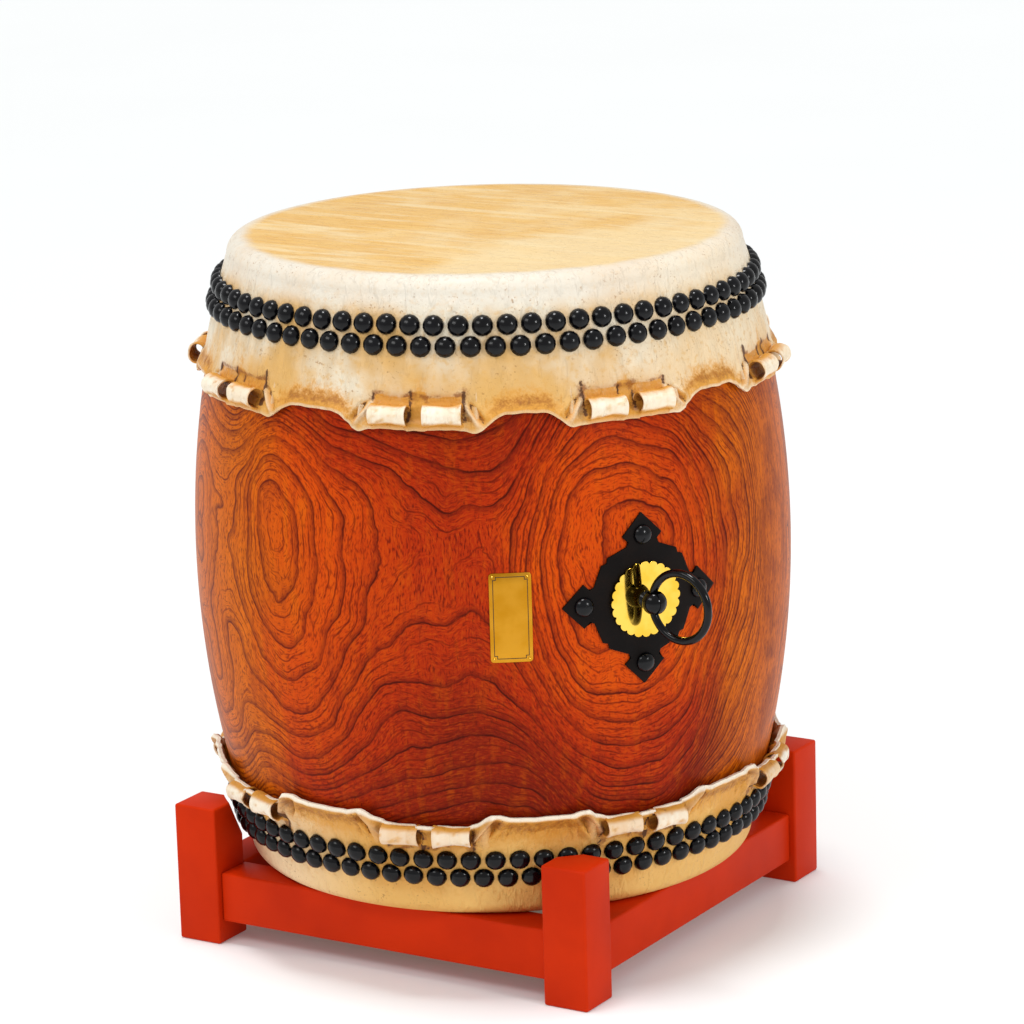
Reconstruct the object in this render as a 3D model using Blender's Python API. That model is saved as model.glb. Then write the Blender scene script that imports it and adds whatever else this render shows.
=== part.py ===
"""A long barrel drum with tacked rawhide heads, standing on a low square wooden stand.

Metres, +Z up. The origin is on the floor under the middle of the stand, and the drum's axis is Z.
The stand's front faces -Y. An angle round the drum is measured from -Y towards +X.
"""

import math

import bmesh
import bpy
from mathutils import Matrix, Vector

MM = 0.001

# Clearances
GAP = 0.3 * MM
JOINT_CLEARANCE = 0.4 * MM

# Shell, turned and hollowed from one log
SHELL_LENGTH = 589 * MM
MOUTH_RADIUS = 234 * MM
BELLY_BULGE = 48 * MM
SHELL_WALL = 30 * MM
MOUTH_ROUNDING = 12 * MM
SHELL_SIDES = 48
FIRST_SIDE = 18.0
MIDDLE_BANDS = 6

# Rawhide heads: the skin, its tacks and the rolled ears along its lower edge
SKIN = 3 * MM
TOP_SKIRT = 127 * MM
TOP_RISE_BETWEEN_EARS = 13 * MM
TOP_EAR_DEPTH = 114 * MM
TOP_EARS = (-26.5, 18.0, 59.0, 103.0, 148.5, 195.0, 242.0, 288.0)
BOTTOM_SKIRT = 101 * MM
BOTTOM_RISE_AT_EARS = 10 * MM
BOTTOM_EAR_DEPTH = 83 * MM
BOTTOM_EARS = (-27.0, 17.0, 61.0, 104.5, 149.0, 196.0, 241.0, 287.0)
EAR_ROLL_RADIUS = 9 * MM
EAR_ROLL_WALL = 2.5 * MM
EAR_ROLL_LENGTH = 34 * MM
EAR_SLOT = 16 * MM
EAR_SEAT = 1.5 * MM
TACK_ROWS = (39 * MM, 57 * MM)
TACKS_IN_ROW = 72
TOP_TACK_START = 0.9
BOTTOM_TACK_START = 2.8
TACK_RADIUS = 9 * MM
TACK_CROWN_RADIUS = 4.5 * MM
TACK_HEIGHT = 7 * MM
TACK_SEAT = 1 * MM
TACK_SIDES = 5
ROLL_SIDES = 6

# Ring fittings, one on each side
FITTING_ANGLES = {"front": 60.0, "back": 240.0}
FITTING_LEVEL = 2.5 * MM
ESCUTCHEON_THICKNESS = 2 * MM
ESCUTCHEON_TIP = 79.5 * MM
ESCUTCHEON_DIAMOND = 20.4 * MM
ESCUTCHEON_BODY = 49.5 * MM
ESCUTCHEON_NECK = 15 * MM
BODY_FLAT_SHARE = 0.335
BODY_CORNER_SHARES = (0.72, 0.845)
BODY_NOTCH_SHARE = 0.745
WASHER_RADIUS = 35 * MM
WASHER_THICKNESS = 1.5 * MM
WASHER_LOBES = 24
LOBE_DEPTH = 1.6 * MM
NAIL_HEAD_RADIUS = 9 * MM
NAIL_HEAD_HEIGHT = 6 * MM
NAIL_SHANK_RADIUS = 1.6 * MM
NAIL_LENGTH = 24 * MM
EYE_RADIUS = 11.3 * MM
EYE_REACH = 19 * MM
EYE_BORE_RADIUS = 6.5 * MM
COLLAR_RADIUS = 8 * MM
COLLAR_HEIGHT = 2 * MM
COLLAR_TAPER = 2 * MM
NECK_RADIUS = 6 * MM
SHANK_RADIUS = 5 * MM
SHANK_END = 1 * MM
CLINCH_LENGTH = 52 * MM
CLINCH_WIDTH = 9 * MM
CLINCH_THICKNESS = 4 * MM
CLINCH_PLATE_LENGTH = 66 * MM
CLINCH_PLATE_WIDTH = 34 * MM
CLINCH_PLATE_THICKNESS = 3 * MM
RING_WIRE_RADIUS = 3.75 * MM
RING_RADIUS = 31 * MM
RING_SAG = 1.8 * MM
RING_REST_SWING = 22.0

# Stand
STAND_WIDTH = 450 * MM
POST_SIDE = 46 * MM
POST_HEIGHT = 134 * MM
POST_CHAMFER = 1.5 * MM
RAIL_CLEARANCE = 22 * MM
RAIL_HEIGHT = 48 * MM
RAIL_THICKNESS = 40 * MM
RAIL_SETBACK = 6 * MM
TENON_LENGTH = 22 * MM
TENON_THICKNESS = 14 * MM
TENON_HEIGHT = 16 * MM
TENON_SHOULDER = 6 * MM
DRUM_CLEARANCE = 6 * MM

# Places that follow from the sizes
BELLY_RADIUS = MOUTH_RADIUS + BELLY_BULGE
RAIL_TOP = RAIL_CLEARANCE + RAIL_HEIGHT
SHELL_BASE = RAIL_TOP + GAP + SKIN + GAP
SHELL_MIDDLE = SHELL_BASE + SHELL_LENGTH / 2
HEAD_INSET = GAP + SKIN
PLATE_SEAT = GAP
WASHER_SEAT = PLATE_SEAT + ESCUTCHEON_THICKNESS + GAP
COLLAR_SEAT = WASHER_SEAT + WASHER_THICKNESS + GAP

# Colours
LACQUERED_WOOD = (0.42, 0.06, 0.015)
RAWHIDE = (0.86, 0.74, 0.52)
BLACK_IRON = (0.012, 0.010, 0.009)
GILT_BRASS = (0.90, 0.56, 0.08)
VERMILION = (0.62, 0.045, 0.012)


def finish(name, color, roughness, metallic=0.0):
    """A Principled material."""
    material = bpy.data.materials.new(name)
    material.use_nodes = True
    shader = material.node_tree.nodes["Principled BSDF"]
    shader.inputs["Base Color"].default_value = (*color, 1.0)
    shader.inputs["Roughness"].default_value = roughness
    shader.inputs["Metallic"].default_value = metallic
    material.diffuse_color = (*color, 1.0)
    return material


def add_object(name, mesh, material, smooth_angle=40.0):
    """Turns a bmesh into an object whose round faces are shaded smooth."""
    data = bpy.data.meshes.new(name)
    bmesh.ops.recalc_face_normals(mesh, faces=mesh.faces)
    mesh.to_mesh(data)
    mesh.free()
    data.shade_smooth()
    data.set_sharp_from_angle(angle=math.radians(smooth_angle))
    data.materials.append(material)
    piece = bpy.data.objects.new(name, data)
    bpy.context.scene.collection.objects.link(piece)
    return piece


def add_cutter(name, mesh, material):
    """A helper solid for Booleans, left out of the model itself."""
    cutter = add_object(name, mesh, material)
    cutter.hide_render = True
    cutter.display_type = "WIRE"
    return cutter


def boolean(piece, other, operation):
    """Cuts, joins or intersects a piece with a helper solid."""
    modifier = piece.modifiers.new(f"{operation.lower()} {other.name}", "BOOLEAN")
    modifier.operation = operation
    modifier.solver = "EXACT"
    modifier.object = other


def around(angle, radius, height=0.0):
    """A point at an angle round the drum's axis."""
    turn = math.radians(angle)
    return Vector((radius * math.sin(turn), -radius * math.cos(turn), height))


def outward_frame(angle, point, tilt=0.0):
    """A frame at a point: X points out of the drum, Z up, and tilt raises X, in degrees."""
    turn = Matrix.Rotation(math.radians(angle - 90.0), 4, "Z")
    return Matrix.Translation(point) @ turn @ Matrix.Rotation(math.radians(-tilt), 4, "Y")


def barrel_arc():
    """The radius of the arc that the shell's side follows."""
    half = SHELL_LENGTH / 2
    return (half**2 + BELLY_BULGE**2) / (2 * BELLY_BULGE)


def barrel_radius(level):
    """The shell's outer radius at a level, which is measured from its middle."""
    return BELLY_RADIUS - barrel_arc() + math.sqrt(barrel_arc() ** 2 - min(abs(level), SHELL_LENGTH / 2) ** 2)


def barrel_tilt(level):
    """How far the shell's surface leans from upright at a level, in degrees. It looks up above the middle."""
    return math.degrees(math.asin(level / barrel_arc()))


def spun(profile, sides, closed=True, start=FIRST_SIDE):
    """A mesh turned round Z from (radius, height) points, whose first column is at the start angle."""
    mesh = bmesh.new()
    column = [mesh.verts.new(around(start, radius, height)) for radius, height in profile]
    ends = column[1:] + column[:1] if closed else column[1:]
    edges = [mesh.edges.new(pair) for pair in zip(column, ends)]
    bmesh.ops.spin(mesh, geom=column + edges, cent=(0, 0, 0), axis=(0, 0, 1), angle=math.tau, steps=sides,
                   use_merge=True)
    bmesh.ops.remove_doubles(mesh, verts=mesh.verts, dist=0.005 * MM)
    bmesh.ops.recalc_face_normals(mesh, faces=mesh.faces)
    return mesh


def add_frustum(mesh, frame, sides, low_radius, high_radius, low, high, start=0.0):
    """Adds a closed frustum along the frame's X, from low to high."""
    bottom, top = [], []
    for side in range(sides):
        turn = start + math.tau * side / sides
        across, up = math.cos(turn), math.sin(turn)
        bottom.append(mesh.verts.new(frame @ Vector((low, low_radius * across, low_radius * up))))
        top.append(mesh.verts.new(frame @ Vector((high, high_radius * across, high_radius * up))))
    for side in range(sides):
        following = (side + 1) % sides
        mesh.faces.new((bottom[side], bottom[following], top[following], top[side]))
    mesh.faces.new(bottom[::-1])
    mesh.faces.new(top)


def add_tube(mesh, frame, sides, outer, inner, length):
    """Adds an open-ended tube along the frame's Y, centred on its origin."""
    rings = []
    for radius in (outer, inner):
        for end in (-length / 2, length / 2):
            turns = [math.tau * side / sides for side in range(sides)]
            rings.append([mesh.verts.new(frame @ Vector((radius * math.cos(turn), end, radius * math.sin(turn))))
                          for turn in turns])
    outer_low, outer_high, inner_low, inner_high = rings
    for first, second in ((outer_low, outer_high), (outer_high, inner_high), (inner_high, inner_low),
                          (inner_low, outer_low)):
        for side in range(sides):
            following = (side + 1) % sides
            mesh.faces.new((first[side], first[following], second[following], second[side]))


def add_box(mesh, low, high):
    """Adds a closed box between two corners."""
    size = Vector(high) - Vector(low)
    middle = (Vector(high) + Vector(low)) / 2
    place = Matrix.Translation(middle) @ Matrix.Diagonal((*size, 1.0))
    bmesh.ops.create_cube(mesh, size=1.0, matrix=place)


# The shell and the levels that its skins and fittings share with it

def head_levels(skirt):
    """Depths below the mouth at which the shell and a skin of this skirt share a ring of points."""
    return [MOUTH_ROUNDING, (MOUTH_ROUNDING + skirt) / 2, skirt]


def shell_levels():
    """Levels of the shell's outline, from the bottom mouth's rounding to the top one's."""
    half = SHELL_LENGTH / 2
    low = [-half + depth for depth in head_levels(BOTTOM_SKIRT)]
    high = [half - depth for depth in reversed(head_levels(TOP_SKIRT))]
    step = (high[0] - low[-1]) / MIDDLE_BANDS
    return low + [low[-1] + step * band for band in range(1, MIDDLE_BANDS)] + high


def mouth_corner(offset=0.0):
    """The rounded corner at the top mouth, as (radius, height above the middle), for a skin this far out."""
    rounding = MOUTH_ROUNDING
    centre = barrel_radius(SHELL_LENGTH / 2 - rounding) - rounding
    points = []
    for turn in (0.0, 30.0, 60.0, 90.0):
        reach = rounding + offset
        points.append((
            centre + reach * math.cos(math.radians(turn)),
            SHELL_LENGTH / 2 - rounding + reach * math.sin(math.radians(turn)),
        ))
    return points


def side_profile(offset, levels):
    """Points up the shell's side, offset outwards."""
    return [(barrel_radius(level) + offset, SHELL_MIDDLE + level) for level in levels]


def facet_radius(angle, level):
    """Radius of the shell's flat-sided surface at an angle and level."""
    levels = shell_levels()
    above = next((index for index, value in enumerate(levels) if value >= level), len(levels) - 1)
    low, high = levels[max(above - 1, 0)], levels[max(above, 1)]
    share = (level - low) / (high - low)
    radius = barrel_radius(low) * (1 - share) + barrel_radius(high) * share
    half_side = math.pi / SHELL_SIDES
    from_middle = math.radians(angle - FIRST_SIDE) % (2 * half_side) - half_side
    return radius * math.cos(half_side) / math.cos(from_middle)


def fitting_frame(angle, level=FITTING_LEVEL):
    """The frame on the shell's surface at an angle and level, with X square to the surface."""
    surface = around(angle, facet_radius(angle, level), SHELL_MIDDLE + level)
    return outward_frame(angle, surface, barrel_tilt(level))


def nail_places(angle):
    """Angle and level of the four nails of a fitting, by name."""
    spread = ESCUTCHEON_TIP - ESCUTCHEON_DIAMOND
    sweep = math.degrees(spread / BELLY_RADIUS)
    return {"top": (angle, FITTING_LEVEL + spread), "right": (angle + sweep, FITTING_LEVEL),
            "bottom": (angle, FITTING_LEVEL - spread), "left": (angle - sweep, FITTING_LEVEL)}


def drilling(side, angle, material):
    """The cutter for one fitting's shank hole and nail holes."""
    mesh = bmesh.new()
    hole = SHANK_RADIUS + JOINT_CLEARANCE
    add_frustum(mesh, fitting_frame(angle), 12, hole, hole, -SHELL_WALL * 1.5, EYE_REACH, math.pi / 12)
    hole = NAIL_SHANK_RADIUS + JOINT_CLEARANCE
    for place, level in nail_places(angle).values():
        add_frustum(mesh, fitting_frame(place, level), 6, hole, hole, -NAIL_LENGTH - JOINT_CLEARANCE, EYE_REACH)
    return add_cutter(f"drilling_{side}", mesh, material)


def make_shell(wood, cutters):
    """The hollow shell with rounded mouths."""
    middle = SHELL_MIDDLE
    top_corner = [(radius, middle + height) for radius, height in mouth_corner()]
    bottom_corner = [(radius, middle - height) for radius, height in reversed(mouth_corner())]
    outside = side_profile(0.0, shell_levels()[1:-1])
    inner_levels = [-SHELL_LENGTH / 2] + shell_levels()[2:-2] + [SHELL_LENGTH / 2]
    inside = [(barrel_radius(level) - SHELL_WALL, middle + level) for level in inner_levels]
    profile = bottom_corner + outside + top_corner + inside[::-1]
    shell = add_object("body_shell", spun(profile, SHELL_SIDES), wood)
    for cutter in cutters:
        boolean(shell, cutter, "DIFFERENCE")
    return shell


# Heads

def away_from_ears(angle, ears):
    """0 across each ear, 1 half way between two of them."""
    after = min((ear - angle) % 360.0 for ear in ears)
    before = min((angle - ear) % 360.0 for ear in ears)
    ear_half = math.degrees((EAR_ROLL_LENGTH + EAR_SLOT / 2) / BELLY_RADIUS) + 1.0
    reach = min(after, before) - ear_half
    if reach <= 0.0:
        return 0.0
    return math.sin(math.pi / 2 * reach / ((after + before) / 2 - ear_half))


def head_trim(ears, ear_depth, tack_start, side):
    """Tacks and rolled ears of one head, as one mesh of separate solids."""
    mesh = bmesh.new()
    pitch = 360.0 / TACKS_IN_ROW
    for row, depth in enumerate(TACK_ROWS):
        level = side * (SHELL_LENGTH / 2 - depth)
        for tack in range(TACKS_IN_ROW):
            angle = tack_start + pitch * (tack + 0.5 * row)
            surface = around(angle, barrel_radius(level) + HEAD_INSET, SHELL_MIDDLE + level)
            frame = outward_frame(angle, surface, barrel_tilt(level))
            add_frustum(mesh, frame, TACK_SIDES, TACK_RADIUS, TACK_CROWN_RADIUS, -TACK_SEAT, TACK_HEIGHT)
    level = side * (SHELL_LENGTH / 2 - ear_depth)
    reach = barrel_radius(level) + HEAD_INSET + EAR_ROLL_RADIUS - EAR_SEAT
    half_step = math.degrees((EAR_SLOT + EAR_ROLL_LENGTH) / 2 / reach)
    for ear in ears:
        for hand in (-1.0, 1.0):
            angle = ear + hand * half_step
            frame = outward_frame(angle, around(angle, reach, SHELL_MIDDLE + level))
            inner = EAR_ROLL_RADIUS - EAR_ROLL_WALL
            add_tube(mesh, frame, ROLL_SIDES, EAR_ROLL_RADIUS, inner, EAR_ROLL_LENGTH)
    return mesh


def make_head(name, skirt, edge_rise, trim, side, rawhide):
    """A skin over one mouth: a skirt with a waving edge, two rows of tacks and rolled ears."""
    half = SHELL_LENGTH / 2
    depths = head_levels(skirt)
    outer = [(0.0, half + HEAD_INSET)] + mouth_corner(HEAD_INSET)[::-1]
    outer += [(barrel_radius(half - depth) + HEAD_INSET, half - depth) for depth in depths[1:]]
    inner = [(0.0, half + GAP)] + mouth_corner(GAP)[::-1]
    inner += [(barrel_radius(half - depth) + GAP, half - depth) for depth in depths[1:]]
    profile = [(radius, side * height) for radius, height in outer + inner[::-1]]
    mesh = spun(profile, SHELL_SIDES, closed=False)
    edge = side * (half - skirt)
    narrowing = (barrel_radius(half - depths[2]) - barrel_radius(half - depths[1])) / (depths[2] - depths[1])
    for vert in mesh.verts:
        if abs(vert.co.z - edge) < 0.01 * MM:
            rise = edge_rise(math.degrees(math.atan2(vert.co.x, -vert.co.y)))
            radius = vert.co.xy.length
            vert.co.xy *= (radius - narrowing * rise) / radius
            vert.co.z += side * rise
    bmesh.ops.translate(mesh, verts=mesh.verts, vec=(0, 0, SHELL_MIDDLE))
    head = add_object(name, mesh, rawhide)
    boolean(head, add_cutter(f"{name}_trim", trim, rawhide), "UNION")
    return head


def make_heads(rawhide):
    """Both skins. The top one reaches lowest at its ears, the bottom one reaches highest between them."""
    make_head("top_head", TOP_SKIRT, lambda angle: TOP_RISE_BETWEEN_EARS * away_from_ears(angle, TOP_EARS),
              head_trim(TOP_EARS, TOP_EAR_DEPTH, TOP_TACK_START, 1.0), 1.0, rawhide)
    make_head("bottom_head", BOTTOM_SKIRT,
              lambda angle: BOTTOM_RISE_AT_EARS * (1.0 - away_from_ears(angle, BOTTOM_EARS)),
              head_trim(BOTTOM_EARS, BOTTOM_EAR_DEPTH, BOTTOM_TACK_START, -1.0), -1.0, rawhide)


# Ring fittings

def escutcheon_outline():
    """The plate's outline: a diamond at each tip, a neck, and a stepped square body."""
    tip, half, body, neck = ESCUTCHEON_TIP, ESCUTCHEON_DIAMOND, ESCUTCHEON_BODY, ESCUTCHEON_NECK
    centre = tip - half
    across, up = BODY_CORNER_SHARES
    notch = BODY_NOTCH_SHARE * body
    quarter = [(0.0, tip), (half, centre), (neck, centre - (half - neck)), (BODY_FLAT_SHARE * body, body),
               (across * body, up * body), (notch, notch)]
    turned = []
    for quadrant in range(4):
        mirror = [(second, first) for first, second in quarter[4:0:-1]]
        points = quarter + mirror
        angle = -math.pi / 2 * quadrant
        cosine, sine = math.cos(angle), math.sin(angle)
        turned += [(first * cosine - second * sine, first * sine + second * cosine)
                   for first, second in points]
    return turned


def washer_outline():
    """A round outline with shallow lobes, like a chrysanthemum."""
    points = []
    for step in range(WASHER_LOBES * 2):
        turn = math.pi * step / WASHER_LOBES
        radius = WASHER_RADIUS - (LOBE_DEPTH if step % 2 else 0.0)
        points.append((radius * math.cos(turn), radius * math.sin(turn)))
    return points


def rectangle_outline(width, height):
    """A plain rectangle."""
    half, up = width / 2, height / 2
    return [(-half, -up), (half, -up), (half, up), (-half, up)]


def fitted_plate(name, outline, angle, seat, thickness, material, cutter):
    """A plate of this outline, bent to lie on the shell at a height above its surface."""
    mesh = bmesh.new()
    frame = outward_frame(angle, around(angle, BELLY_RADIUS, SHELL_MIDDLE + FITTING_LEVEL))
    reach = SHELL_WALL * 2.5
    for depth in (-reach, reach):
        mesh.faces.new([mesh.verts.new(frame @ Vector((depth, across, up))) for across, up in outline])
    mesh.edges.ensure_lookup_table()
    bmesh.ops.bridge_loops(mesh, edges=mesh.edges[:])
    plate = add_object(name, mesh, material)
    levels = shell_levels()[2:-2]
    layer = side_profile(seat, levels) + side_profile(seat + thickness, levels)[::-1]
    bed = add_cutter(f"{name}_bed", spun(layer, SHELL_SIDES), material)
    boolean(plate, bed, "INTERSECT")
    boolean(plate, cutter, "DIFFERENCE")
    return plate


def make_eye_pin(name, angle, iron):
    """The ball eye with its collar, its shank through the wall and its clinched legs inside."""
    ends = [facet_radius(angle, FITTING_LEVEL + level) for level in (-CLINCH_LENGTH / 2, CLINCH_LENGTH / 2)]
    dip = min(ends) - facet_radius(angle, FITTING_LEVEL)
    inner_face = min(dip, 0.0) - SHELL_WALL - GAP - CLINCH_PLATE_THICKNESS - 2 * GAP
    end = inner_face - CLINCH_THICKNESS - SHANK_END
    profile = [(0.0, end), (SHANK_RADIUS, end),
               (SHANK_RADIUS, COLLAR_SEAT), (COLLAR_RADIUS, COLLAR_SEAT),
               (COLLAR_RADIUS, COLLAR_SEAT + COLLAR_HEIGHT),
               (NECK_RADIUS, COLLAR_SEAT + COLLAR_HEIGHT + COLLAR_TAPER)]
    neck_turn = math.asin(NECK_RADIUS / EYE_RADIUS)
    for step in range(5):
        turn = neck_turn + (math.pi - neck_turn) * step / 4
        profile.append((EYE_RADIUS * math.sin(turn), EYE_REACH - EYE_RADIUS * math.cos(turn)))
    profile[-1] = (0.0, EYE_REACH + EYE_RADIUS)
    mesh = spun(profile, 12, closed=False, start=0.0)
    frame = fitting_frame(angle)
    bmesh.ops.transform(mesh, verts=mesh.verts, matrix=frame @ Matrix.Rotation(math.pi / 2, 4, "Y"))
    pin = add_object(name, mesh, iron)
    legs = bmesh.new()
    add_box(legs, (inner_face - CLINCH_THICKNESS, -CLINCH_WIDTH / 2, -CLINCH_LENGTH / 2),
            (inner_face, CLINCH_WIDTH / 2, CLINCH_LENGTH / 2))
    bmesh.ops.transform(legs, verts=legs.verts, matrix=frame)
    boolean(pin, add_cutter(f"{name}_legs", legs, iron), "UNION")
    bore = bmesh.new()
    upright = frame @ Matrix.Translation((EYE_REACH, 0, 0)) @ Matrix.Rotation(-math.pi / 2, 4, "Y")
    reach = 2 * EYE_RADIUS
    add_frustum(bore, upright, 12, EYE_BORE_RADIUS, EYE_BORE_RADIUS, -reach, reach, math.pi / 12)
    boolean(pin, add_cutter(f"{name}_bore", bore, iron), "DIFFERENCE")
    return pin


def make_nail(name, angle, level, iron):
    """A domed nail through the escutcheon."""
    seat = WASHER_SEAT + GAP
    profile = [(0.0, -NAIL_LENGTH), (NAIL_SHANK_RADIUS * 0.4, -NAIL_LENGTH),
               (NAIL_SHANK_RADIUS, -NAIL_LENGTH * 0.7), (NAIL_SHANK_RADIUS, seat), (NAIL_HEAD_RADIUS, seat)]
    for turn in (30.0, 60.0):
        profile.append((NAIL_HEAD_RADIUS * math.cos(math.radians(turn)),
                        seat + NAIL_HEAD_HEIGHT * math.sin(math.radians(turn))))
    profile.append((0.0, seat + NAIL_HEAD_HEIGHT))
    mesh = spun(profile, 10, closed=False, start=0.0)
    upright = Matrix.Rotation(math.pi / 2, 4, "Y")
    bmesh.ops.transform(mesh, verts=mesh.verts, matrix=fitting_frame(angle, level) @ upright)
    return add_object(name, mesh, iron)


def make_ring(name, angle, iron):
    """The round ring. Its object's origin is on the upright axis through the eye's bore."""
    axis = fitting_frame(angle) @ Vector((EYE_REACH, 0.0, 0.0))
    mesh = bmesh.new()
    steps, sides = 24, 8
    rings = []
    for step in range(steps):
        turn = math.tau * step / steps
        ring = []
        for side in range(sides):
            roll = math.tau * side / sides
            reach = RING_RADIUS + RING_WIRE_RADIUS * math.cos(roll)
            ring.append(mesh.verts.new((RING_RADIUS - RING_SAG + reach * math.cos(turn),
                                        RING_WIRE_RADIUS * math.sin(roll), reach * math.sin(turn))))
        rings.append(ring)
    for step in range(steps):
        for side in range(sides):
            first, second = rings[step], rings[(step + 1) % steps]
            following = (side + 1) % sides
            mesh.faces.new((first[side], first[following], second[following], second[side]))
    ring = add_object(name, mesh, iron)
    ring.location = axis
    ring.rotation_euler = (0, 0, math.radians(angle - 90.0 + RING_REST_SWING))
    return ring


def make_fitting(side, angle, iron, brass, cutter):
    """One ring with its eye pin, plate, washer, nails and inner plate."""
    fitted_plate(f"{side}_escutcheon", escutcheon_outline(), angle, PLATE_SEAT, ESCUTCHEON_THICKNESS, iron,
                 cutter)
    fitted_plate(f"{side}_washer", washer_outline(), angle, WASHER_SEAT, WASHER_THICKNESS, brass, cutter)
    fitted_plate(f"{side}_clinch_plate", rectangle_outline(CLINCH_PLATE_WIDTH, CLINCH_PLATE_LENGTH), angle,
                 -SHELL_WALL - GAP - CLINCH_PLATE_THICKNESS, CLINCH_PLATE_THICKNESS, iron, cutter)
    make_eye_pin(f"{side}_eye_pin", angle, iron)
    make_ring(f"{side}_ring", angle, iron)
    for place, (nail_angle, level) in nail_places(angle).items():
        make_nail(f"{side}_nail_{place}", nail_angle, level, iron)


# Stand

def tenon_levels(upper):
    """The height range of a rail's tenons: one pair of rails has them high, the other low."""
    if upper:
        return RAIL_TOP - TENON_SHOULDER - TENON_HEIGHT, RAIL_TOP - TENON_SHOULDER
    return RAIL_CLEARANCE + TENON_SHOULDER, RAIL_CLEARANCE + TENON_SHOULDER + TENON_HEIGHT


def rail_lines():
    """Distance from the axis of a rail's outer face, inner face and tenon middle."""
    outer = STAND_WIDTH / 2 - RAIL_SETBACK
    inner = outer - RAIL_THICKNESS
    return outer, inner, (outer + inner) / 2


def make_rail(name, turn, upper, paint):
    """A rail along X on the front side, with a tenon at each end, turned round the axis to its side."""
    outer, inner, middle = rail_lines()
    shoulder = STAND_WIDTH / 2 - POST_SIDE - GAP
    place = Matrix.Rotation(math.radians(turn), 4, "Z")
    mesh = bmesh.new()
    add_box(mesh, (-shoulder, -outer, RAIL_CLEARANCE), (shoulder, -inner, RAIL_TOP))
    bmesh.ops.bevel(mesh, geom=mesh.edges[:], offset=POST_CHAMFER, segments=1, affect="EDGES")
    bmesh.ops.transform(mesh, verts=mesh.verts, matrix=place)
    rail = add_object(name, mesh, paint)
    low, high = tenon_levels(upper)
    tenons = bmesh.new()
    tip = shoulder + TENON_LENGTH
    add_box(tenons, (-tip, -middle - TENON_THICKNESS / 2, low), (tip, -middle + TENON_THICKNESS / 2, high))
    bmesh.ops.transform(tenons, verts=tenons.verts, matrix=place)
    boolean(rail, add_cutter(f"{name}_tenons", tenons, paint), "UNION")
    return rail


def make_post(name, across, back, hollow, paint):
    """A corner post with two mortises, its inner corner hollowed to clear the drum."""
    half = STAND_WIDTH / 2
    inside = half - POST_SIDE
    corners = [Vector((across * inside, back * inside, 0)), Vector((across * half, back * half, POST_HEIGHT))]
    low = [min(corner[axis] for corner in corners) for axis in range(3)]
    high = [max(corner[axis] for corner in corners) for axis in range(3)]
    mesh = bmesh.new()
    add_box(mesh, low, high)
    bmesh.ops.bevel(mesh, geom=mesh.edges[:], offset=POST_CHAMFER, segments=1, affect="EDGES")
    post = add_object(name, mesh, paint)
    boolean(post, hollow, "DIFFERENCE")
    _, _, middle = rail_lines()
    slack = JOINT_CLEARANCE
    deep = inside + TENON_LENGTH + slack
    wide = TENON_THICKNESS / 2 + slack
    mortises = bmesh.new()
    for upper in (True, False):
        bottom, top = tenon_levels(upper)
        along = sorted((inside - slack - POST_CHAMFER, deep))
        if upper:
            spans = [[across * value for value in along], [back * (middle - wide), back * (middle + wide)]]
        else:
            spans = [[across * (middle - wide), across * (middle + wide)], [back * value for value in along]]
        add_box(mortises, (min(spans[0]), min(spans[1]), bottom - slack),
                (max(spans[0]), max(spans[1]), top + slack))
    boolean(post, add_cutter(f"{name}_mortises", mortises, paint), "DIFFERENCE")
    return post


def drum_hollow(paint):
    """The flaring round space that the stand leaves for the drum."""
    top_level = POST_HEIGHT - SHELL_MIDDLE
    proud = HEAD_INSET + TACK_HEIGHT + DRUM_CLEARANCE
    low_radius = MOUTH_RADIUS + HEAD_INSET + DRUM_CLEARANCE
    high_radius = barrel_radius(top_level) + proud
    slope = (high_radius - low_radius) / (POST_HEIGHT - RAIL_TOP)
    above = POST_HEIGHT + POST_SIDE
    profile = [(0.0, RAIL_TOP), (low_radius, RAIL_TOP), (high_radius + slope * POST_SIDE, above),
               (0.0, above)]
    return add_cutter("drum_hollow", spun(profile, SHELL_SIDES, closed=False), paint)


def make_stand(paint):
    """Four posts and four rails."""
    hollow = drum_hollow(paint)
    for depth_name, back in (("front", -1), ("back", 1)):
        for width_name, across in (("left", -1), ("right", 1)):
            make_post(f"post_{depth_name}_{width_name}", across, back, hollow, paint)
    for name, turn, upper in (("rail_front", 0, True), ("rail_right", 90, False), ("rail_back", 180, True),
                              ("rail_left", 270, False)):
        make_rail(name, turn, upper, paint)


def main():
    for leftover in list(bpy.data.objects):
        bpy.data.objects.remove(leftover, do_unlink=True)
    wood = finish("lacquered_zelkova", LACQUERED_WOOD, 0.25)
    rawhide = finish("rawhide", RAWHIDE, 0.5)
    iron = finish("black_iron", BLACK_IRON, 0.45, 0.6)
    brass = finish("gilt_brass", GILT_BRASS, 0.3, 1.0)
    paint = finish("vermilion_paint", VERMILION, 0.45)
    cutters = {side: drilling(side, angle, iron) for side, angle in FITTING_ANGLES.items()}
    make_shell(wood, cutters.values())
    make_heads(rawhide)
    for side, angle in FITTING_ANGLES.items():
        make_fitting(side, angle, iron, brass, cutters[side])
    make_stand(paint)


main()
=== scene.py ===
"""Looks of a long barrel drum with tacked rawhide heads, standing on a low square wooden stand.

Metres, +Z up. The drum's axis is Z, and an angle round it is measured in degrees from -Y towards +X.
A level on the shell is measured from the shell's middle, and a depth on a skin from its flat face.
"""

import logging
import math
from collections.abc import Sequence
from dataclasses import dataclass
from enum import Enum
from functools import partial

import bpy
import numpy as np
from mathutils import Matrix, Vector, noise


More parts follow.
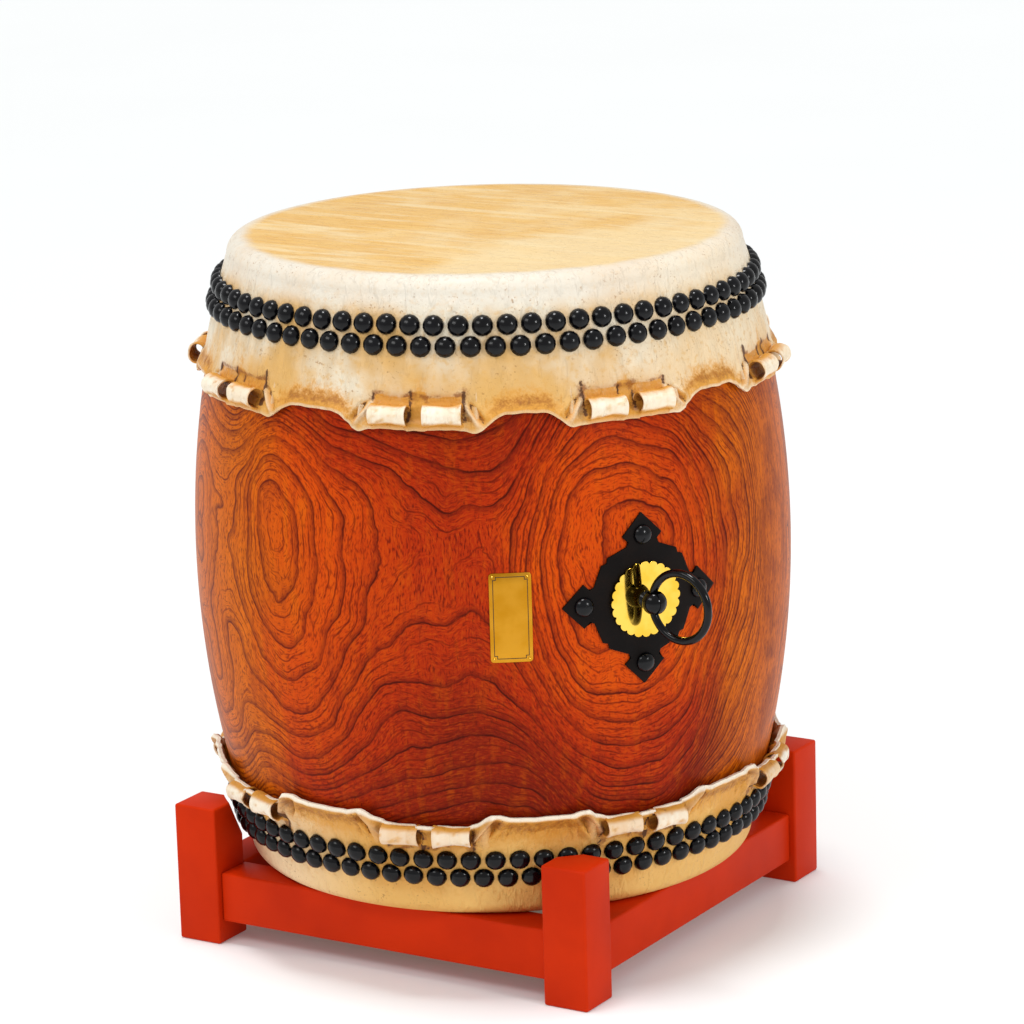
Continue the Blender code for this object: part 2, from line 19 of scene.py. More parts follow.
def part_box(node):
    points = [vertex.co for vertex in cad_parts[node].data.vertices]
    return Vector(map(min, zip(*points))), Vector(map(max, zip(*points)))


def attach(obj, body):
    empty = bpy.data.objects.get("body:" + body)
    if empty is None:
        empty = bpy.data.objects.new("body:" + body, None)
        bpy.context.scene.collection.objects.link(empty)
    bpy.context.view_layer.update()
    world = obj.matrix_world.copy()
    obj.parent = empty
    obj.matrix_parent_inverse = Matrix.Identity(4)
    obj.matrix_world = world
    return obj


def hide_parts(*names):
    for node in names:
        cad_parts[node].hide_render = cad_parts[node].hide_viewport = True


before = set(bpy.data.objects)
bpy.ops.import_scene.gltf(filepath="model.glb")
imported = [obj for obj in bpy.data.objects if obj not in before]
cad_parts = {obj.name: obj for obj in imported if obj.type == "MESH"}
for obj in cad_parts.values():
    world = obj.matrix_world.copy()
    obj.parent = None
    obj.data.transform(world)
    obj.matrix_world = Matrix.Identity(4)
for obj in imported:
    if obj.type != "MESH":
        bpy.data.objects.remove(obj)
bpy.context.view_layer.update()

log = logging.getLogger("drum")

MM = 0.001
Piece = bpy.types.Object
Socket = bpy.types.NodeSocket
Source = Socket | float | str | tuple[float, ...]


# Modelling helpers

def hold(*pieces: Piece) -> None:
    """Deselects everything else and makes the last of these pieces the active one."""
    bpy.ops.object.select_all(action="DESELECT")
    for piece in pieces:
        piece.select_set(True)
        bpy.context.view_layer.objects.active = piece


def draw_line(name: str, points: Sequence[Sequence[float]], closed: bool = False) -> Piece:
    """Draws a line of edges by extruding one vertex from point to point.

    Args:
        name: the piece's name.
        points: the line's points, in metres.
        closed: whether the last point is joined to the first.

    Returns:
        The new piece, with its origin at the world's.
    """
    bpy.ops.object.select_all(action="DESELECT")
    bpy.ops.mesh.primitive_plane_add(size=MM, location=points[0])
    piece = bpy.context.object
    piece.name = name
    bpy.ops.object.mode_set(mode="EDIT")
    bpy.ops.mesh.merge(type="CENTER")
    for start, end in zip(points, points[1:]):
        step = Vector(end) - Vector(start)
        bpy.ops.mesh.extrude_region_move(TRANSFORM_OT_translate={"value": step})
    if closed:
        bpy.ops.mesh.select_all(action="SELECT")
        bpy.ops.mesh.edge_face_add()
    bpy.ops.object.mode_set(mode="OBJECT")
    bpy.ops.object.transform_apply(location=True, rotation=True, scale=True)
    return piece


def apply_modifier(piece: Piece, kind: str, **settings: object) -> None:
    """Adds a modifier to a piece and applies it.

    Args:
        piece: the piece.
        kind: the modifier's type name.
        settings: the modifier's own properties.
    """
    hold(piece)
    modifier = piece.modifiers.new(kind.lower(), kind)
    for name, value in settings.items():
        setattr(modifier, name, value)
    bpy.ops.object.modifier_apply(modifier=modifier.name)


def close_up(piece: Piece, merge_mm: float = 0.02, smooth: float = 40.0) -> None:
    """Merges doubles, turns the faces outwards and shades the piece smooth up to an angle.

    Args:
        piece: the piece.
        merge_mm: points nearer than this become one.
        smooth: the sharpest edge that is still shaded smooth, in degrees.
    """
    hold(piece)
    bpy.ops.object.mode_set(mode="EDIT")
    bpy.ops.mesh.select_all(action="SELECT")
    bpy.ops.mesh.remove_doubles(threshold=merge_mm * MM)
    bpy.ops.mesh.normals_make_consistent(inside=False)
    bpy.ops.object.mode_set(mode="OBJECT")
    bpy.ops.object.shade_smooth_by_angle(angle=math.radians(smooth))


def turn_round(piece: Piece, steps: int) -> None:
    """Turns a profile of edges into a round piece about Z.

    Args:
        piece: the profile, drawn in the XZ plane.
        steps: how many sides the round has.
    """
    apply_modifier(piece, "SCREW", steps=steps, render_steps=steps, use_merge_vertices=True,
                   merge_threshold=0.01 * MM)
    close_up(piece)


def copy_at(piece: Piece, places: Sequence[Matrix], name: str) -> Piece:
    """Copies a piece to each place, joins the copies and removes the pattern piece.

    Args:
        piece: the piece that repeats, modelled at the origin.
        places: where each copy goes.
        name: the joined piece's name.

    Returns:
        The joined piece, with its place in its mesh.
    """
    copies = []
    for place in places:
        copy = piece.copy()
        copy.data = piece.data.copy()
        bpy.context.scene.collection.objects.link(copy)
        copy.matrix_world = place
        copies.append(copy)
    bpy.data.objects.remove(piece, do_unlink=True)
    hold(*copies)
    bpy.ops.object.join()
    joined = bpy.context.object
    joined.name = name
    bpy.ops.object.transform_apply(location=True, rotation=True, scale=True)
    return joined


def read_points(piece: Piece) -> np.ndarray:
    """Returns the piece's points as an array of rows of X, Y and Z."""
    points = np.empty(len(piece.data.vertices) * 3)
    piece.data.vertices.foreach_get("co", points)
    return points.reshape(-1, 3)


def write_points(piece: Piece, points: np.ndarray) -> None:
    """Moves the piece's points to these places."""
    piece.data.vertices.foreach_set("co", points.ravel())
    piece.data.update()


def write_shade(piece: Piece, name: str, values: np.ndarray) -> None:
    """Stores one number from 0 to 1 at each point, for the material to read.

    Args:
        piece: the piece.
        name: the attribute's name.
        values: one number for each point.
    """
    layer = piece.data.attributes.new(name, "FLOAT", "POINT")
    layer.data.foreach_set("value", np.clip(values, 0.0, 1.0))


def rough(points: np.ndarray, size_mm: float, seed: float = 0.0) -> np.ndarray:
    """Smooth unevenness from -1 to 1 at each point.

    Args:
        points: rows of X, Y and Z in metres.
        size_mm: how wide a lump is.
        seed: shifts the pattern.

    Returns:
        One number for each point.
    """
    scaled = points / (size_mm * MM) + seed
    return np.array([noise.noise(Vector(point)) for point in scaled])


def step_up(values: np.ndarray | float, low: float, high: float) -> np.ndarray:
    """Goes softly from 0 at low to 1 at high."""
    share = np.clip((np.asarray(values) - low) / (high - low), 0.0, 1.0)
    return share * share * (3.0 - 2.0 * share)


def bump_at(values: np.ndarray, middle: np.ndarray | float, width: float) -> np.ndarray:
    """A round bump of height 1 at the middle."""
    return np.exp(-(((values - middle) / width) ** 2))


# Material helpers

def linear(hex_colour: str) -> tuple[float, float, float, float]:
    """Turns an sRGB hex colour into the linear colour that a shader takes.

    Args:
        hex_colour: six hex digits with a leading hash.

    Returns:
        Red, green and blue in linear light, and full alpha.
    """
    channels = [int(hex_colour[place:place + 2], 16) / 255 for place in (1, 3, 5)]
    red, green, blue = (value / 12.92 if value <= 0.04045 else ((value + 0.055) / 1.055) ** 2.4
                        for value in channels)
    return red, green, blue, 1.0


def add_node(tree: bpy.types.NodeTree, kind: str, links: Sequence[Source] | dict[str | int, Source] = (),
             out: str | int = 0, **settings: object) -> Socket:
    """Adds a shader node with its settings and links.

    Args:
        tree: the node tree.
        kind: the node's type name after ShaderNode.
        links: what each input gets, in order or by name: an output, a constant or a hex colour.
        out: which output is wanted, by name or number.
        settings: the node's own properties.

    Returns:
        That output of the new node.
    """
    node = tree.nodes.new(f"ShaderNode{kind}")
    for name, value in settings.items():
        setattr(node, name, value)
    for name, source in links.items() if isinstance(links, dict) else enumerate(links):
        if isinstance(source, Socket):
            tree.links.new(source, node.inputs[name])
        else:
            node.inputs[name].default_value = linear(source) if isinstance(source, str) else source
    return node.outputs[out]


class Recipe:
    """One material in the making: its nodes start from the piece's own coordinates and end in one shader."""

    def __init__(self, name: str, constants: dict[str, float | tuple[float, ...]]) -> None:
        """Starts a material.

        Args:
            name: the material's name.
            constants: the shader's numbers and colours that are the same all over the surface.
        """
        self.material = bpy.data.materials.new(name)
        self.material.use_nodes = True
        self.tree = self.material.node_tree
        self.add = partial(add_node, self.tree)
        self.place = self.add("TexCoord", out="Object")
        self.shader = self.tree.nodes["Principled BSDF"]
        for socket, value in constants.items():
            self.shader.inputs[socket].default_value = value

    def finish(self, outputs: dict[str, Socket]) -> bpy.types.Material:
        """Feeds the shader's sockets.

        Args:
            outputs: for each socket, the output that drives it.

        Returns:
            The finished material.
        """
        for socket, output in outputs.items():
            self.tree.links.new(output, self.shader.inputs[socket])
        return self.material


# The barrel, which every piece of the drum follows

@dataclass(frozen=True)
class Barrel:
    """The shell's outer form: an arc from mouth to mouth, turned about Z."""

    base: float
    top: float
    mouth_radius: float = 234 * MM
    bulge: float = 48 * MM
    rounding: float = 12 * MM
    wall: float = 30 * MM

    @property
    def half(self) -> float:
        """Half the shell's length."""
        return (self.top - self.base) / 2

    @property
    def middle(self) -> float:
        """The height of the shell's middle."""
        return (self.top + self.base) / 2

    @property
    def arc(self) -> float:
        """The radius of the arc that the side follows."""
        return (self.half ** 2 + self.bulge ** 2) / (2 * self.bulge)

    def radius(self, level: np.ndarray | float) -> np.ndarray:
        """Returns the outer radius at a level."""
        near = np.minimum(np.abs(level), self.half)
        return self.mouth_radius + self.bulge - self.arc + np.sqrt(self.arc ** 2 - near ** 2)

    def frame(self, angle: float, level: float, seat: float = 0.0, upright: bool = False) -> Matrix:
        """A frame on the side: X runs round the drum, Y up its side and Z straight out.

        Args:
            angle: where it is round the drum, in degrees.
            level: how high it is above the shell's middle.
            seat: how far out of the surface it is.
            upright: whether Z stays level instead of following the bulge.

        Returns:
            The frame's matrix.
        """
        turn = math.radians(angle)
        tilt = 0.0 if upright else math.asin(level / self.arc)
        out = Vector((math.sin(turn) * math.cos(tilt), -math.cos(turn) * math.cos(tilt), math.sin(tilt)))
        across = Vector((math.cos(turn), math.sin(turn), 0.0))
        up = out.cross(across)
        radius = float(self.radius(level))
        point = Vector((radius * math.sin(turn), -radius * math.cos(turn), self.middle + level)) + out * seat
        return Matrix.Translation(point) @ Matrix((across, up, out)).transposed().to_4x4()

    def wrap(self, piece: Piece, angle: float, level: float, seat: float) -> None:
        """Bends a flat piece onto the side. Its X goes round the drum, its Y up and its Z out.

        Args:
            piece: the piece, modelled flat about the origin.
            angle: where its middle goes, in degrees.
            level: how high its middle goes above the shell's.
            seat: how far its underside is from the shell.
        """
        points = read_points(piece)
        turn = math.radians(angle) + points[:, 0] / float(self.radius(level))
        heights = level + points[:, 1]
        radius = self.radius(heights) + seat + points[:, 2]
        write_points(piece, np.column_stack((radius * np.sin(turn), -radius * np.cos(turn),
                                             self.middle + heights)))


# Finishes

@dataclass(frozen=True)
class Hill:
    """A swelling of the log that draws closed rings where the barrel cuts it."""

    angle: float
    level_mm: float
    width_mm: float
    height_mm: float
    rings: float
    steepness: float = 1.0


@dataclass(frozen=True)
class LacqueredZelkova:
    """Zelkova turned from one log under clear red lacquer: bold dark growth rings, satin gloss."""

    barrel: Barrel
    hills: tuple[Hill, ...] = (
        Hill(-10, -40, 80, 260, 3.7), Hill(-14, 85, 40, 85, 1.5), Hill(58, -10, 92, 300, 5.0, 2.0),
        Hill(110, 0, 72, 400, -12.0), Hill(-46, -10, 65, 260, 3.0), Hill(-36, -170, 55, 110, 3.0, 1.5),
        Hill(160, 20, 80, 220, 3.0),
        Hill(205, -30, 60, 150, 4.0), Hill(255, 30, 85, 260, 4.5, 1.6))
    saddle_mm: float = 68.0
    fall_above_mm: float = 62.0
    fall_below_mm: float = 102.0
    first_ring: float = -0.2
    line_mm: float = 1.4
    stroke_mm: float = 1.5
    stroke_length_mm: float = 6.0
    belly_mm: float = 270.0

    def rings(self) -> bpy.types.NodeTree:
        """Builds the node group that counts growth rings at a place on the barrel.

        Returns:
            The group, with a place as its input and a ring count as its output.
        """
        tree = bpy.data.node_groups.new("growth_rings", "ShaderNodeTree")
        tree.interface.new_socket("Place", in_out="INPUT", socket_type="NodeSocketVector")
        tree.interface.new_socket("Rings", in_out="OUTPUT", socket_type="NodeSocketFloat")
        add = partial(add_node, tree)
        place = tree.nodes.new("NodeGroupInput").outputs[0]
        uneven = []
        for size_mm, amount, shift in ((90, 0.09, 0), (110, 40, 3), (42, 0.85, 7), (14, 0.14, 11), (5, 0.04, 17)):
            moved = add("VectorMath", (place, (shift,) * 3), operation="ADD")
            cloud = add("TexNoise", {"Vector": moved, "Scale": 1 / (size_mm * MM), "Detail": 0.6})
            uneven.append(add("MapRange", (cloud, 0.0, 1.0, -amount / 2, amount / 2)))

        # The log's ring count falls off above and below the saddle, and each hill adds its own rings
        mirrored = add("VectorMath", (place, (1.0, -1.0, 1.0)), operation="MULTIPLY")
        x, y, z = add("SeparateXYZ", (mirrored,)).node.outputs
        turn = add("Math", (x, y), operation="ARCTAN2")
        turn = add("Math", (turn, uneven[0]), operation="ADD")
        level = add("Math", (z, 1 / MM, -self.barrel.middle / MM), operation="MULTIPLY_ADD")
        level = add("Math", (level, uneven[1]), operation="ADD")
        away = add("Math", (level, self.saddle_mm), operation="SUBTRACT")
        total = self.first_ring
        for side, fall in (("MAXIMUM", self.fall_above_mm), ("MINIMUM", self.fall_below_mm)):
            share = add("Math", (add("Math", (away, 0.0), operation=side), fall), operation="DIVIDE")
            square = add("Math", (share, share), operation="MULTIPLY")
            total = add("Math", (total, square), operation="SUBTRACT")
        for hill in self.hills:
            across = add("Math", (turn, math.radians(hill.angle)), operation="SUBTRACT")
            across = add("Math", (across, math.pi, -math.pi), operation="WRAP")
            apart = add("VectorMath", (
                add("CombineXYZ", (across, level)), (self.belly_mm / hill.width_mm, 1 / hill.height_mm, 0.0),
                (0.0, -hill.level_mm / hill.height_mm, 0.0)), operation="MULTIPLY_ADD")
            apart = add("VectorMath", (apart, apart), "Value", operation="DOT_PRODUCT")
            fading = add("Math", (apart, hill.steepness), operation="POWER")
            fading = add("Math", (add("Math", (fading, -1.0), operation="MULTIPLY"),), operation="EXPONENT")
            total = add("Math", (fading, hill.rings, total), operation="MULTIPLY_ADD")
        for cloud in uneven[2:]:
            total = add("Math", (total, cloud), operation="ADD")
        tree.links.new(total, tree.nodes.new("NodeGroupOutput").inputs[0])
        return tree

    def material(self) -> bpy.types.Material:
        """Builds the lacquered wood."""
        recipe = Recipe("lacquered_zelkova", {"Roughness": 0.36, "Specular IOR Level": 0.04})
        add, place = recipe.add, recipe.place
        soft = {"interpolation_type": "SMOOTHSTEP"}

        # The ring count is taken here, a little way round and a little way up, which gives the rings' spacing
        step = 0.6 * MM
        x, y, z = add("SeparateXYZ", (place,)).node.outputs
        turn = add("Math", (x, add("Math", (y, -1.0), operation="MULTIPLY")), operation="ARCTAN2")
        tangent = add("CombineXYZ", (add("Math", (y, -1.0), operation="MULTIPLY"), x))
        tangent = add("VectorMath", (tangent,), operation="NORMALIZE")
        round_step = add("VectorMath", (tangent, (step,) * 3, place), operation="MULTIPLY_ADD")
        up_step = add("VectorMath", (place, (0.0, 0.0, step)), operation="ADD")
        group = self.rings()
        rings, across, up = (add("Group", (source,), node_tree=group) for source in (place, round_step, up_step))
        slope = add("VectorMath", (add("CombineXYZ", (
            add("Math", (across, rings), operation="SUBTRACT"),
            add("Math", (up, rings), operation="SUBTRACT"))),), "Value", operation="LENGTH")
        per_mm = add("Math", (add("Math", (slope, step / MM), operation="DIVIDE"), 0.004), operation="MAXIMUM")
        clouds = {name: add("TexNoise", {"Vector": add("VectorMath", (place, (1.0, 1.0, squeeze)), operation="MULTIPLY"),
                                         "Scale": 1 / (size_mm * MM), "Detail": detail})
                  for name, size_mm, detail, squeeze in (
                      ("width", 30, 2, 1), ("faint", 34, 3, 1), ("patch", 95, 3, 1), ("flame", 11, 3, 0.16),
                      ("pore", 1.5, 2, 0.24), ("upright", self.stroke_mm, 1, 0.24))}
        patches = add("Math", (clouds["patch"], 0.5), operation="SUBTRACT")
        # Painted sheen: the wood turns golden towards the sides seen edge-on from a heading of 32 degrees, over random
        # golden patches
        quarter = add("Math", (turn, math.radians(32.0)), operation="SUBTRACT")
        quarter = add("Math", (add("Math", (quarter, 2.0), operation="MULTIPLY"),), operation="COSINE")
        sheen_and_golden_tone = add("Math", (add("MapRange", (quarter, 0.6, -0.75, 0.0, 1.0), **soft), patches), operation="ADD")

        # A dark line closes each ring, with two faint ones between, and the wood before it is shaded
        part = add("Math", (rings,), operation="FRACT")
        off = add("Math", (part, 0.5), operation="SUBTRACT")
        from_line = add("Math", (add("Math", (off,), operation="ABSOLUTE"), per_mm), operation="DIVIDE")
        width = add("MapRange", (clouds["width"], 0.35, 0.65, 0.5 * self.line_mm, 1.3 * self.line_mm), **soft)
        line = add("Math", (add("Math", (from_line, width), operation="DIVIDE"), 1.0, 0.3), operation="SMOOTH_MIN")
        line = add("Math", (add("Math", (1.0, line), operation="SUBTRACT"), 0.0), operation="MAXIMUM")
        third = add("Math", (add("Math", (rings, 3.0), operation="MULTIPLY"),), operation="FRACT")
        third = add("Math", (add("Math", (third, 0.5), operation="SUBTRACT"),), operation="ABSOLUTE")
        third = add("Math", (third, add("Math", (per_mm, 3.0), operation="MULTIPLY")), operation="DIVIDE")
        third = add("Math", (add("MapRange", (third, 0.2, 1.3, 1.0, 0.0), **soft),
                             add("MapRange", (clouds["faint"], 0.38, 0.62, 0.1, 0.75), **soft)), operation="MULTIPLY")
        side = add("Math", (add("Math", (off, 1.0, 0.0), operation="WRAP"), per_mm), operation="DIVIDE")
        shade = add("Math", (add("MapRange", (side, 0.0, 8.0, 0.6, 0.0), **soft),
                             add("MapRange", (per_mm, 0.04, 0.12, 1.0, 0.25), **soft)), operation="MULTIPLY")

        # Fine strokes follow the rings and keep one width, because their count doubles where rings spread
        finer = add("Math", (add("Math", (1 / self.stroke_mm, per_mm), operation="DIVIDE"), 2.0),
                    operation="LOGARITHM")
        octave = add("Math", (finer,), operation="FLOOR")
        strokes = []
        for lift in (0.0, 1.0):
            count = add("Math", (2.0, add("Math", (octave, lift), operation="ADD")), operation="POWER")
            along = add("CombineXYZ", (
                add("Math", (rings, count), operation="MULTIPLY"),
                add("Math", (turn, self.belly_mm / self.stroke_length_mm), operation="MULTIPLY"),
                add("Math", (z, 1 / (self.stroke_length_mm * MM)), operation="MULTIPLY")))
            strokes.append(add("TexNoise", {"Vector": along, "Scale": 1.0, "Detail": 1.0, "Roughness": 0.6}))
        streaks = add("Mix", {0: add("Math", (finer,), operation="FRACT"), 2: strokes[0], 3: strokes[1]})
        calm = add("MapRange", (per_mm, 0.006, 0.022, 1.0, 0.0), **soft)
        streaks = add("Mix", {0: calm, 2: streaks, 3: clouds["upright"]})

        bright = add("Math", (add("MapRange", (rings, -6.5, 4.6, 0.0, 1.0), **soft), patches), operation="ADD")
        from_left = add("Math", (add("Math", (turn, 0.6), operation="ADD"),), operation="ABSOLUTE")
        from_left = add("MapRange", (from_left, 0.4, 1.05, 1.0, 0.0), **soft)
        lower = add("MapRange", (z, self.barrel.middle - 230 * MM, self.barrel.middle - 20 * MM, 0.6, 0.28), **soft)
        bright = add("Math", (from_left, lower, bright), operation="MULTIPLY_ADD")
        # The painted sheen also warms the flame figure and fades the ring lines
        sheen_warmth = add("MapRange", (sheen_and_golden_tone, 0.0, 0.8, 0.12, 0.56), **soft)
        drawn = add("Math", (add("MapRange", (sheen_and_golden_tone, 0.2, 1.0, 0.9, 0.62), **soft),
                             add("MapRange", (per_mm, 0.05, 0.13, 1.0, 0.6), **soft)), operation="MULTIPLY")
        for cloud, low, high, start, stop in ((clouds["faint"], 0.36, 0.58, 0.45, 1.0), (bright, 0.45, 1.1, 1.0, 0.68),
                                              (from_left, 0.3, 1.0, 1.0, 0.68)):
            drawn = add("Math", (drawn, add("MapRange", (cloud, low, high, start, stop), **soft)),
                        operation="MULTIPLY")
        wood = add("Mix", {0: add("MapRange", (bright, 0.0, 0.6, 0.0, 1.0), **soft), 6: "#84200C", 7: "#AE2E0B"}, 2,
                   data_type="RGBA")
        for share, colour in (
                (add("MapRange", (bright, 0.5, 1.1, 0.0, 1.0), **soft), "#D0490A"),
                # Painted sheen on the sides seen edge-on, over the random golden patches
                (add("MapRange", (sheen_and_golden_tone, 0.05, 1.0, 0.0, 1.0), **soft), "#CC6408"),
                (add("Math", (add("MapRange", (clouds["flame"], 0.5, 0.68, 0.0, 1.0), **soft), sheen_warmth),
                     operation="MULTIPLY"), "#E07008"),
                (add("MapRange", (clouds["flame"], 0.46, 0.3, 0.0, 0.3), **soft), "#8A2C14"),
                (add("MapRange", (streaks, 0.5, 0.7, 0.0, 0.2), **soft), "#D8640F"),
                (add("MapRange", (streaks, 0.52, 0.32, 0.0, 0.62), **soft), "#64160A"),
                (add("MapRange", (clouds["pore"], 0.44, 0.24, 0.0, 0.55), **soft), "#56140B"),
                (third, "#661808"), (shade, "#5E150C"),
                (add("Math", (line, drawn), operation="MULTIPLY"), "#3C0D08")):
            wood = add("Mix", {0: share, 6: wood, 7: colour}, 2, data_type="RGBA")
        height = add("Math", (line, -0.6, clouds["pore"]), operation="MULTIPLY_ADD")
        return recipe.finish({"Base Color": wood, "Normal": add("Bump", {
            "Height": height, "Strength": 0.12, "Distance": 0.3 * MM})})


@dataclass(frozen=True)
class Rawhide:
    """Dried cattle hide, limed and stretched: cream and stiff, ochre where folds kept the glue, with shade painted into
    its pits, creases, slits and hollows.
    """

    name: str
    barrel: Barrel
    skirt: str
    patch: str
    rim: str
    pale_side: tuple[float, float, float] = (0.03, -0.13, 0.7)
    playing: str = "#E6B65C"
    streak: str = "#D69C42"
    pale: str = "#EFD6A2"
    heading: float = 31.86

    def material(self) -> bpy.types.Material:
        """Builds the hide."""
        recipe = Recipe(self.name, {"Specular IOR Level": 0.3})
        add, place = recipe.add, recipe.place
        soft = {"interpolation_type": "SMOOTHSTEP"}
        half = self.barrel.half
        clouds = {name: add("TexNoise", {"Vector": place, "Scale": 1 / (size_mm * MM), "Detail": detail})
                  for name, size_mm, detail in (
                      ("blotch", 85, 4), ("stain", 14, 4), ("cloud", 48, 4), ("mottle", 5, 5), ("freckle", 2.6, 3),
                      ("herd", 26, 3), ("wear", 6, 4), ("fine", 1.8, 3), ("fleck", 2.2, 3), ("edge", 40, 3),
                      ("wide", 120, 3), ("grain", 2.2, 4), ("lump", 11, 3))}
        stored = {name: add("Attribute", (), "Fac", attribute_name=name) for name in ("ochre", "brown", "pale", "dark")}
        x, y, z = add("SeparateXYZ", (place,)).node.outputs
        height = add("Math", (add("Math", (z, self.barrel.middle), operation="SUBTRACT"),), operation="ABSOLUTE")

        # The skirt is blotched and freckled, paler round the rim and more ochre towards its edge
        rim = add("MapRange", (height, half - 34 * MM, half - 14 * MM, 0.0, 1.0), **soft)
        low = add("Math", (add("MapRange", (height, half - 45 * MM, half - 125 * MM, 0.0, 1.0), **soft),
                           add("MapRange", (clouds["cloud"], 0.38, 0.62, 0.1, 0.95), **soft)), operation="MULTIPLY")
        mottle = add("Math", (add("MapRange", (clouds["mottle"], 0.5, 0.72, 0.0, 1.0), **soft),
                              add("Math", (rim, -0.35, 0.5), operation="MULTIPLY_ADD")), operation="MULTIPLY")
        freckles = add("Math", (add("MapRange", (clouds["freckle"], 0.6, 0.7, 0.0, 0.6), **soft),
                                add("MapRange", (clouds["herd"], 0.42, 0.62, 0.0, 1.0), **soft)), operation="MULTIPLY")
        wear = add("Mix", {0: 0.4, 2: clouds["wear"], 3: clouds["fine"]})
        # The stored marks hold stain, and painted shade too: brown and dark in the pits and creases, dark at the slits,
        # ochre and brown in the rolls' hollows
        folds = {}
        for name, cloud, spread in (("ochre", wear, 1.2), ("brown", wear, 1.8), ("dark", clouds["fleck"], 0.9)):
            about = add("MapRange", (cloud, 0.0, 1.0, -spread / 2, spread / 2))
            folds[name] = add("Math", (stored[name], about), operation="ADD")

        # The playing face is tan, streaked along the animal's back
        flat = add("CombineXYZ", (x, y))
        edge = add("Math", (clouds["edge"], 12 * MM, add("VectorMath", (flat,), "Value", operation="LENGTH")),
                   operation="MULTIPLY_ADD")
        inside = self.barrel.mouth_radius - self.barrel.rounding + 6 * MM
        face = add("Math", (add("MapRange", (edge, inside - 5 * MM, inside + 9 * MM, 0.92, 0.0), **soft),
                            add("MapRange", (height, half - 1 * MM, half, 0.0, 1.0), **soft)), operation="MULTIPLY")
        turned = add("Mapping", {"Vector": flat, "Rotation": (0.0, 0.0, -math.radians(self.heading)),
                                 "Scale": (0.12, 1.0, 1.0)})
        runs = [add("TexNoise", {"Vector": turned, "Scale": 1 / (size_mm * MM), "Detail": 6.0, "Distortion": curl})
                for size_mm, curl in ((5, 0.3), (20, 0.9))]
        paler = add("Math", (x, 0.7, clouds["wide"]), operation="MULTIPLY_ADD")
        tan = add("Mix", {0: add("MapRange", (runs[0], 0.4, 0.66, 0.0, 0.6), **soft), 6: self.playing,
                          7: self.streak}, 2, data_type="RGBA")
        for share in (add("MapRange", (runs[1], 0.46, 0.72, 0.0, 0.75), **soft),
                      add("MapRange", (paler, 0.45, 0.7, 0.0, 0.7), **soft)):
            tan = add("Mix", {0: share, 6: tan, 7: self.pale}, 2, data_type="RGBA")

        hide = add("Mix", {0: add("MapRange", (clouds["blotch"], 0.4, 0.62, 0.0, 0.9), **soft), 6: self.skirt,
                           7: self.patch}, 2, data_type="RGBA")
        for share, colour in (
                (add("MapRange", (clouds["stain"], 0.5, 0.75, 0.0, 0.35), **soft), self.patch),
                (add("Math", (rim, 0.75), operation="MULTIPLY"), self.rim),
                (low, self.patch),
                (add("MapRange", (x, *self.pale_side[:2], 0.0, self.pale_side[2]), **soft), "#F4E0BE"),
                (mottle, self.patch), (freckles, "#A0703A"),
                # Stain, with painted shade in the pits, creases, slits and the rolls' hollows
                (add("MapRange", (folds["ochre"], 0.15, 0.8, 0.0, 1.0), **soft), "#D8983C"),
                (add("MapRange", (folds["brown"], 0.35, 1.1, 0.0, 0.8), **soft), "#92541E"),
                (stored["pale"], "#FAF1DE"),
                (add("MapRange", (folds["dark"], 0.36, 0.58, 0.0, 0.9), **soft), "#4E2A10"),
                (face, tan)):
            hide = add("Mix", {0: share, 6: hide, 7: colour}, 2, data_type="RGBA")
        grain = add("Math", (clouds["lump"], 2.0, clouds["grain"]), operation="MULTIPLY_ADD")
        slanted = add("Mapping", {"Vector": place, "Rotation": (0.5, 0.5, 0.0), "Scale": (1.0, 1.0, 0.22)})
        wrinkles = add("TexNoise", {"Vector": slanted, "Scale": 1 / (7 * MM), "Detail": 2.0})
        wrinkles = add("MapRange", (wrinkles, 0.5, 0.7, 0.0, 3.0), **soft)
        grain = add("Math", (grain, wrinkles), operation="ADD")
        return recipe.finish({
            "Base Color": hide, "Roughness": add("MapRange", (clouds["blotch"], 0.3, 0.7, 0.42, 0.56), **soft),
            "Normal": add("Bump", {"Height": grain, "Strength": 0.4, "Distance": 0.9 * MM})})


@dataclass(frozen=True)
class Metalwork:
    """A worked metal surface: its colour drifts between two tones, with a fine hammered or rolled grain."""

    name: str
    light: str
    dark: str
    roughness: float
    metallic: float
    patch_mm: float
    grain_mm: float
    relief: float
    specular: float = 0.35

    def material(self) -> bpy.types.Material:
        """Builds the metal."""
        recipe = Recipe(self.name, {"Metallic": self.metallic, "Specular IOR Level": self.specular})
        add = recipe.add
        drift, rubbed, grain = (add("TexNoise", {"Vector": recipe.place, "Scale": 1 / (size_mm * MM),
                                                 "Detail": 3.0})
                                for size_mm in (self.patch_mm, self.patch_mm / 2, self.grain_mm))
        share = add("MapRange", (drift, 0.35, 0.65, 0.0, 1.0), interpolation_type="SMOOTHSTEP")
        return recipe.finish({
            "Base Color": add("Mix", {0: share, 6: self.dark, 7: self.light}, 2, data_type="RGBA"),
            "Roughness": add("MapRange", (rubbed, 0.3, 0.7, 0.85 * self.roughness, 1.15 * self.roughness)),
            "Normal": add("Bump", {"Height": grain, "Strength": self.relief, "Distance": 0.2 * MM})})


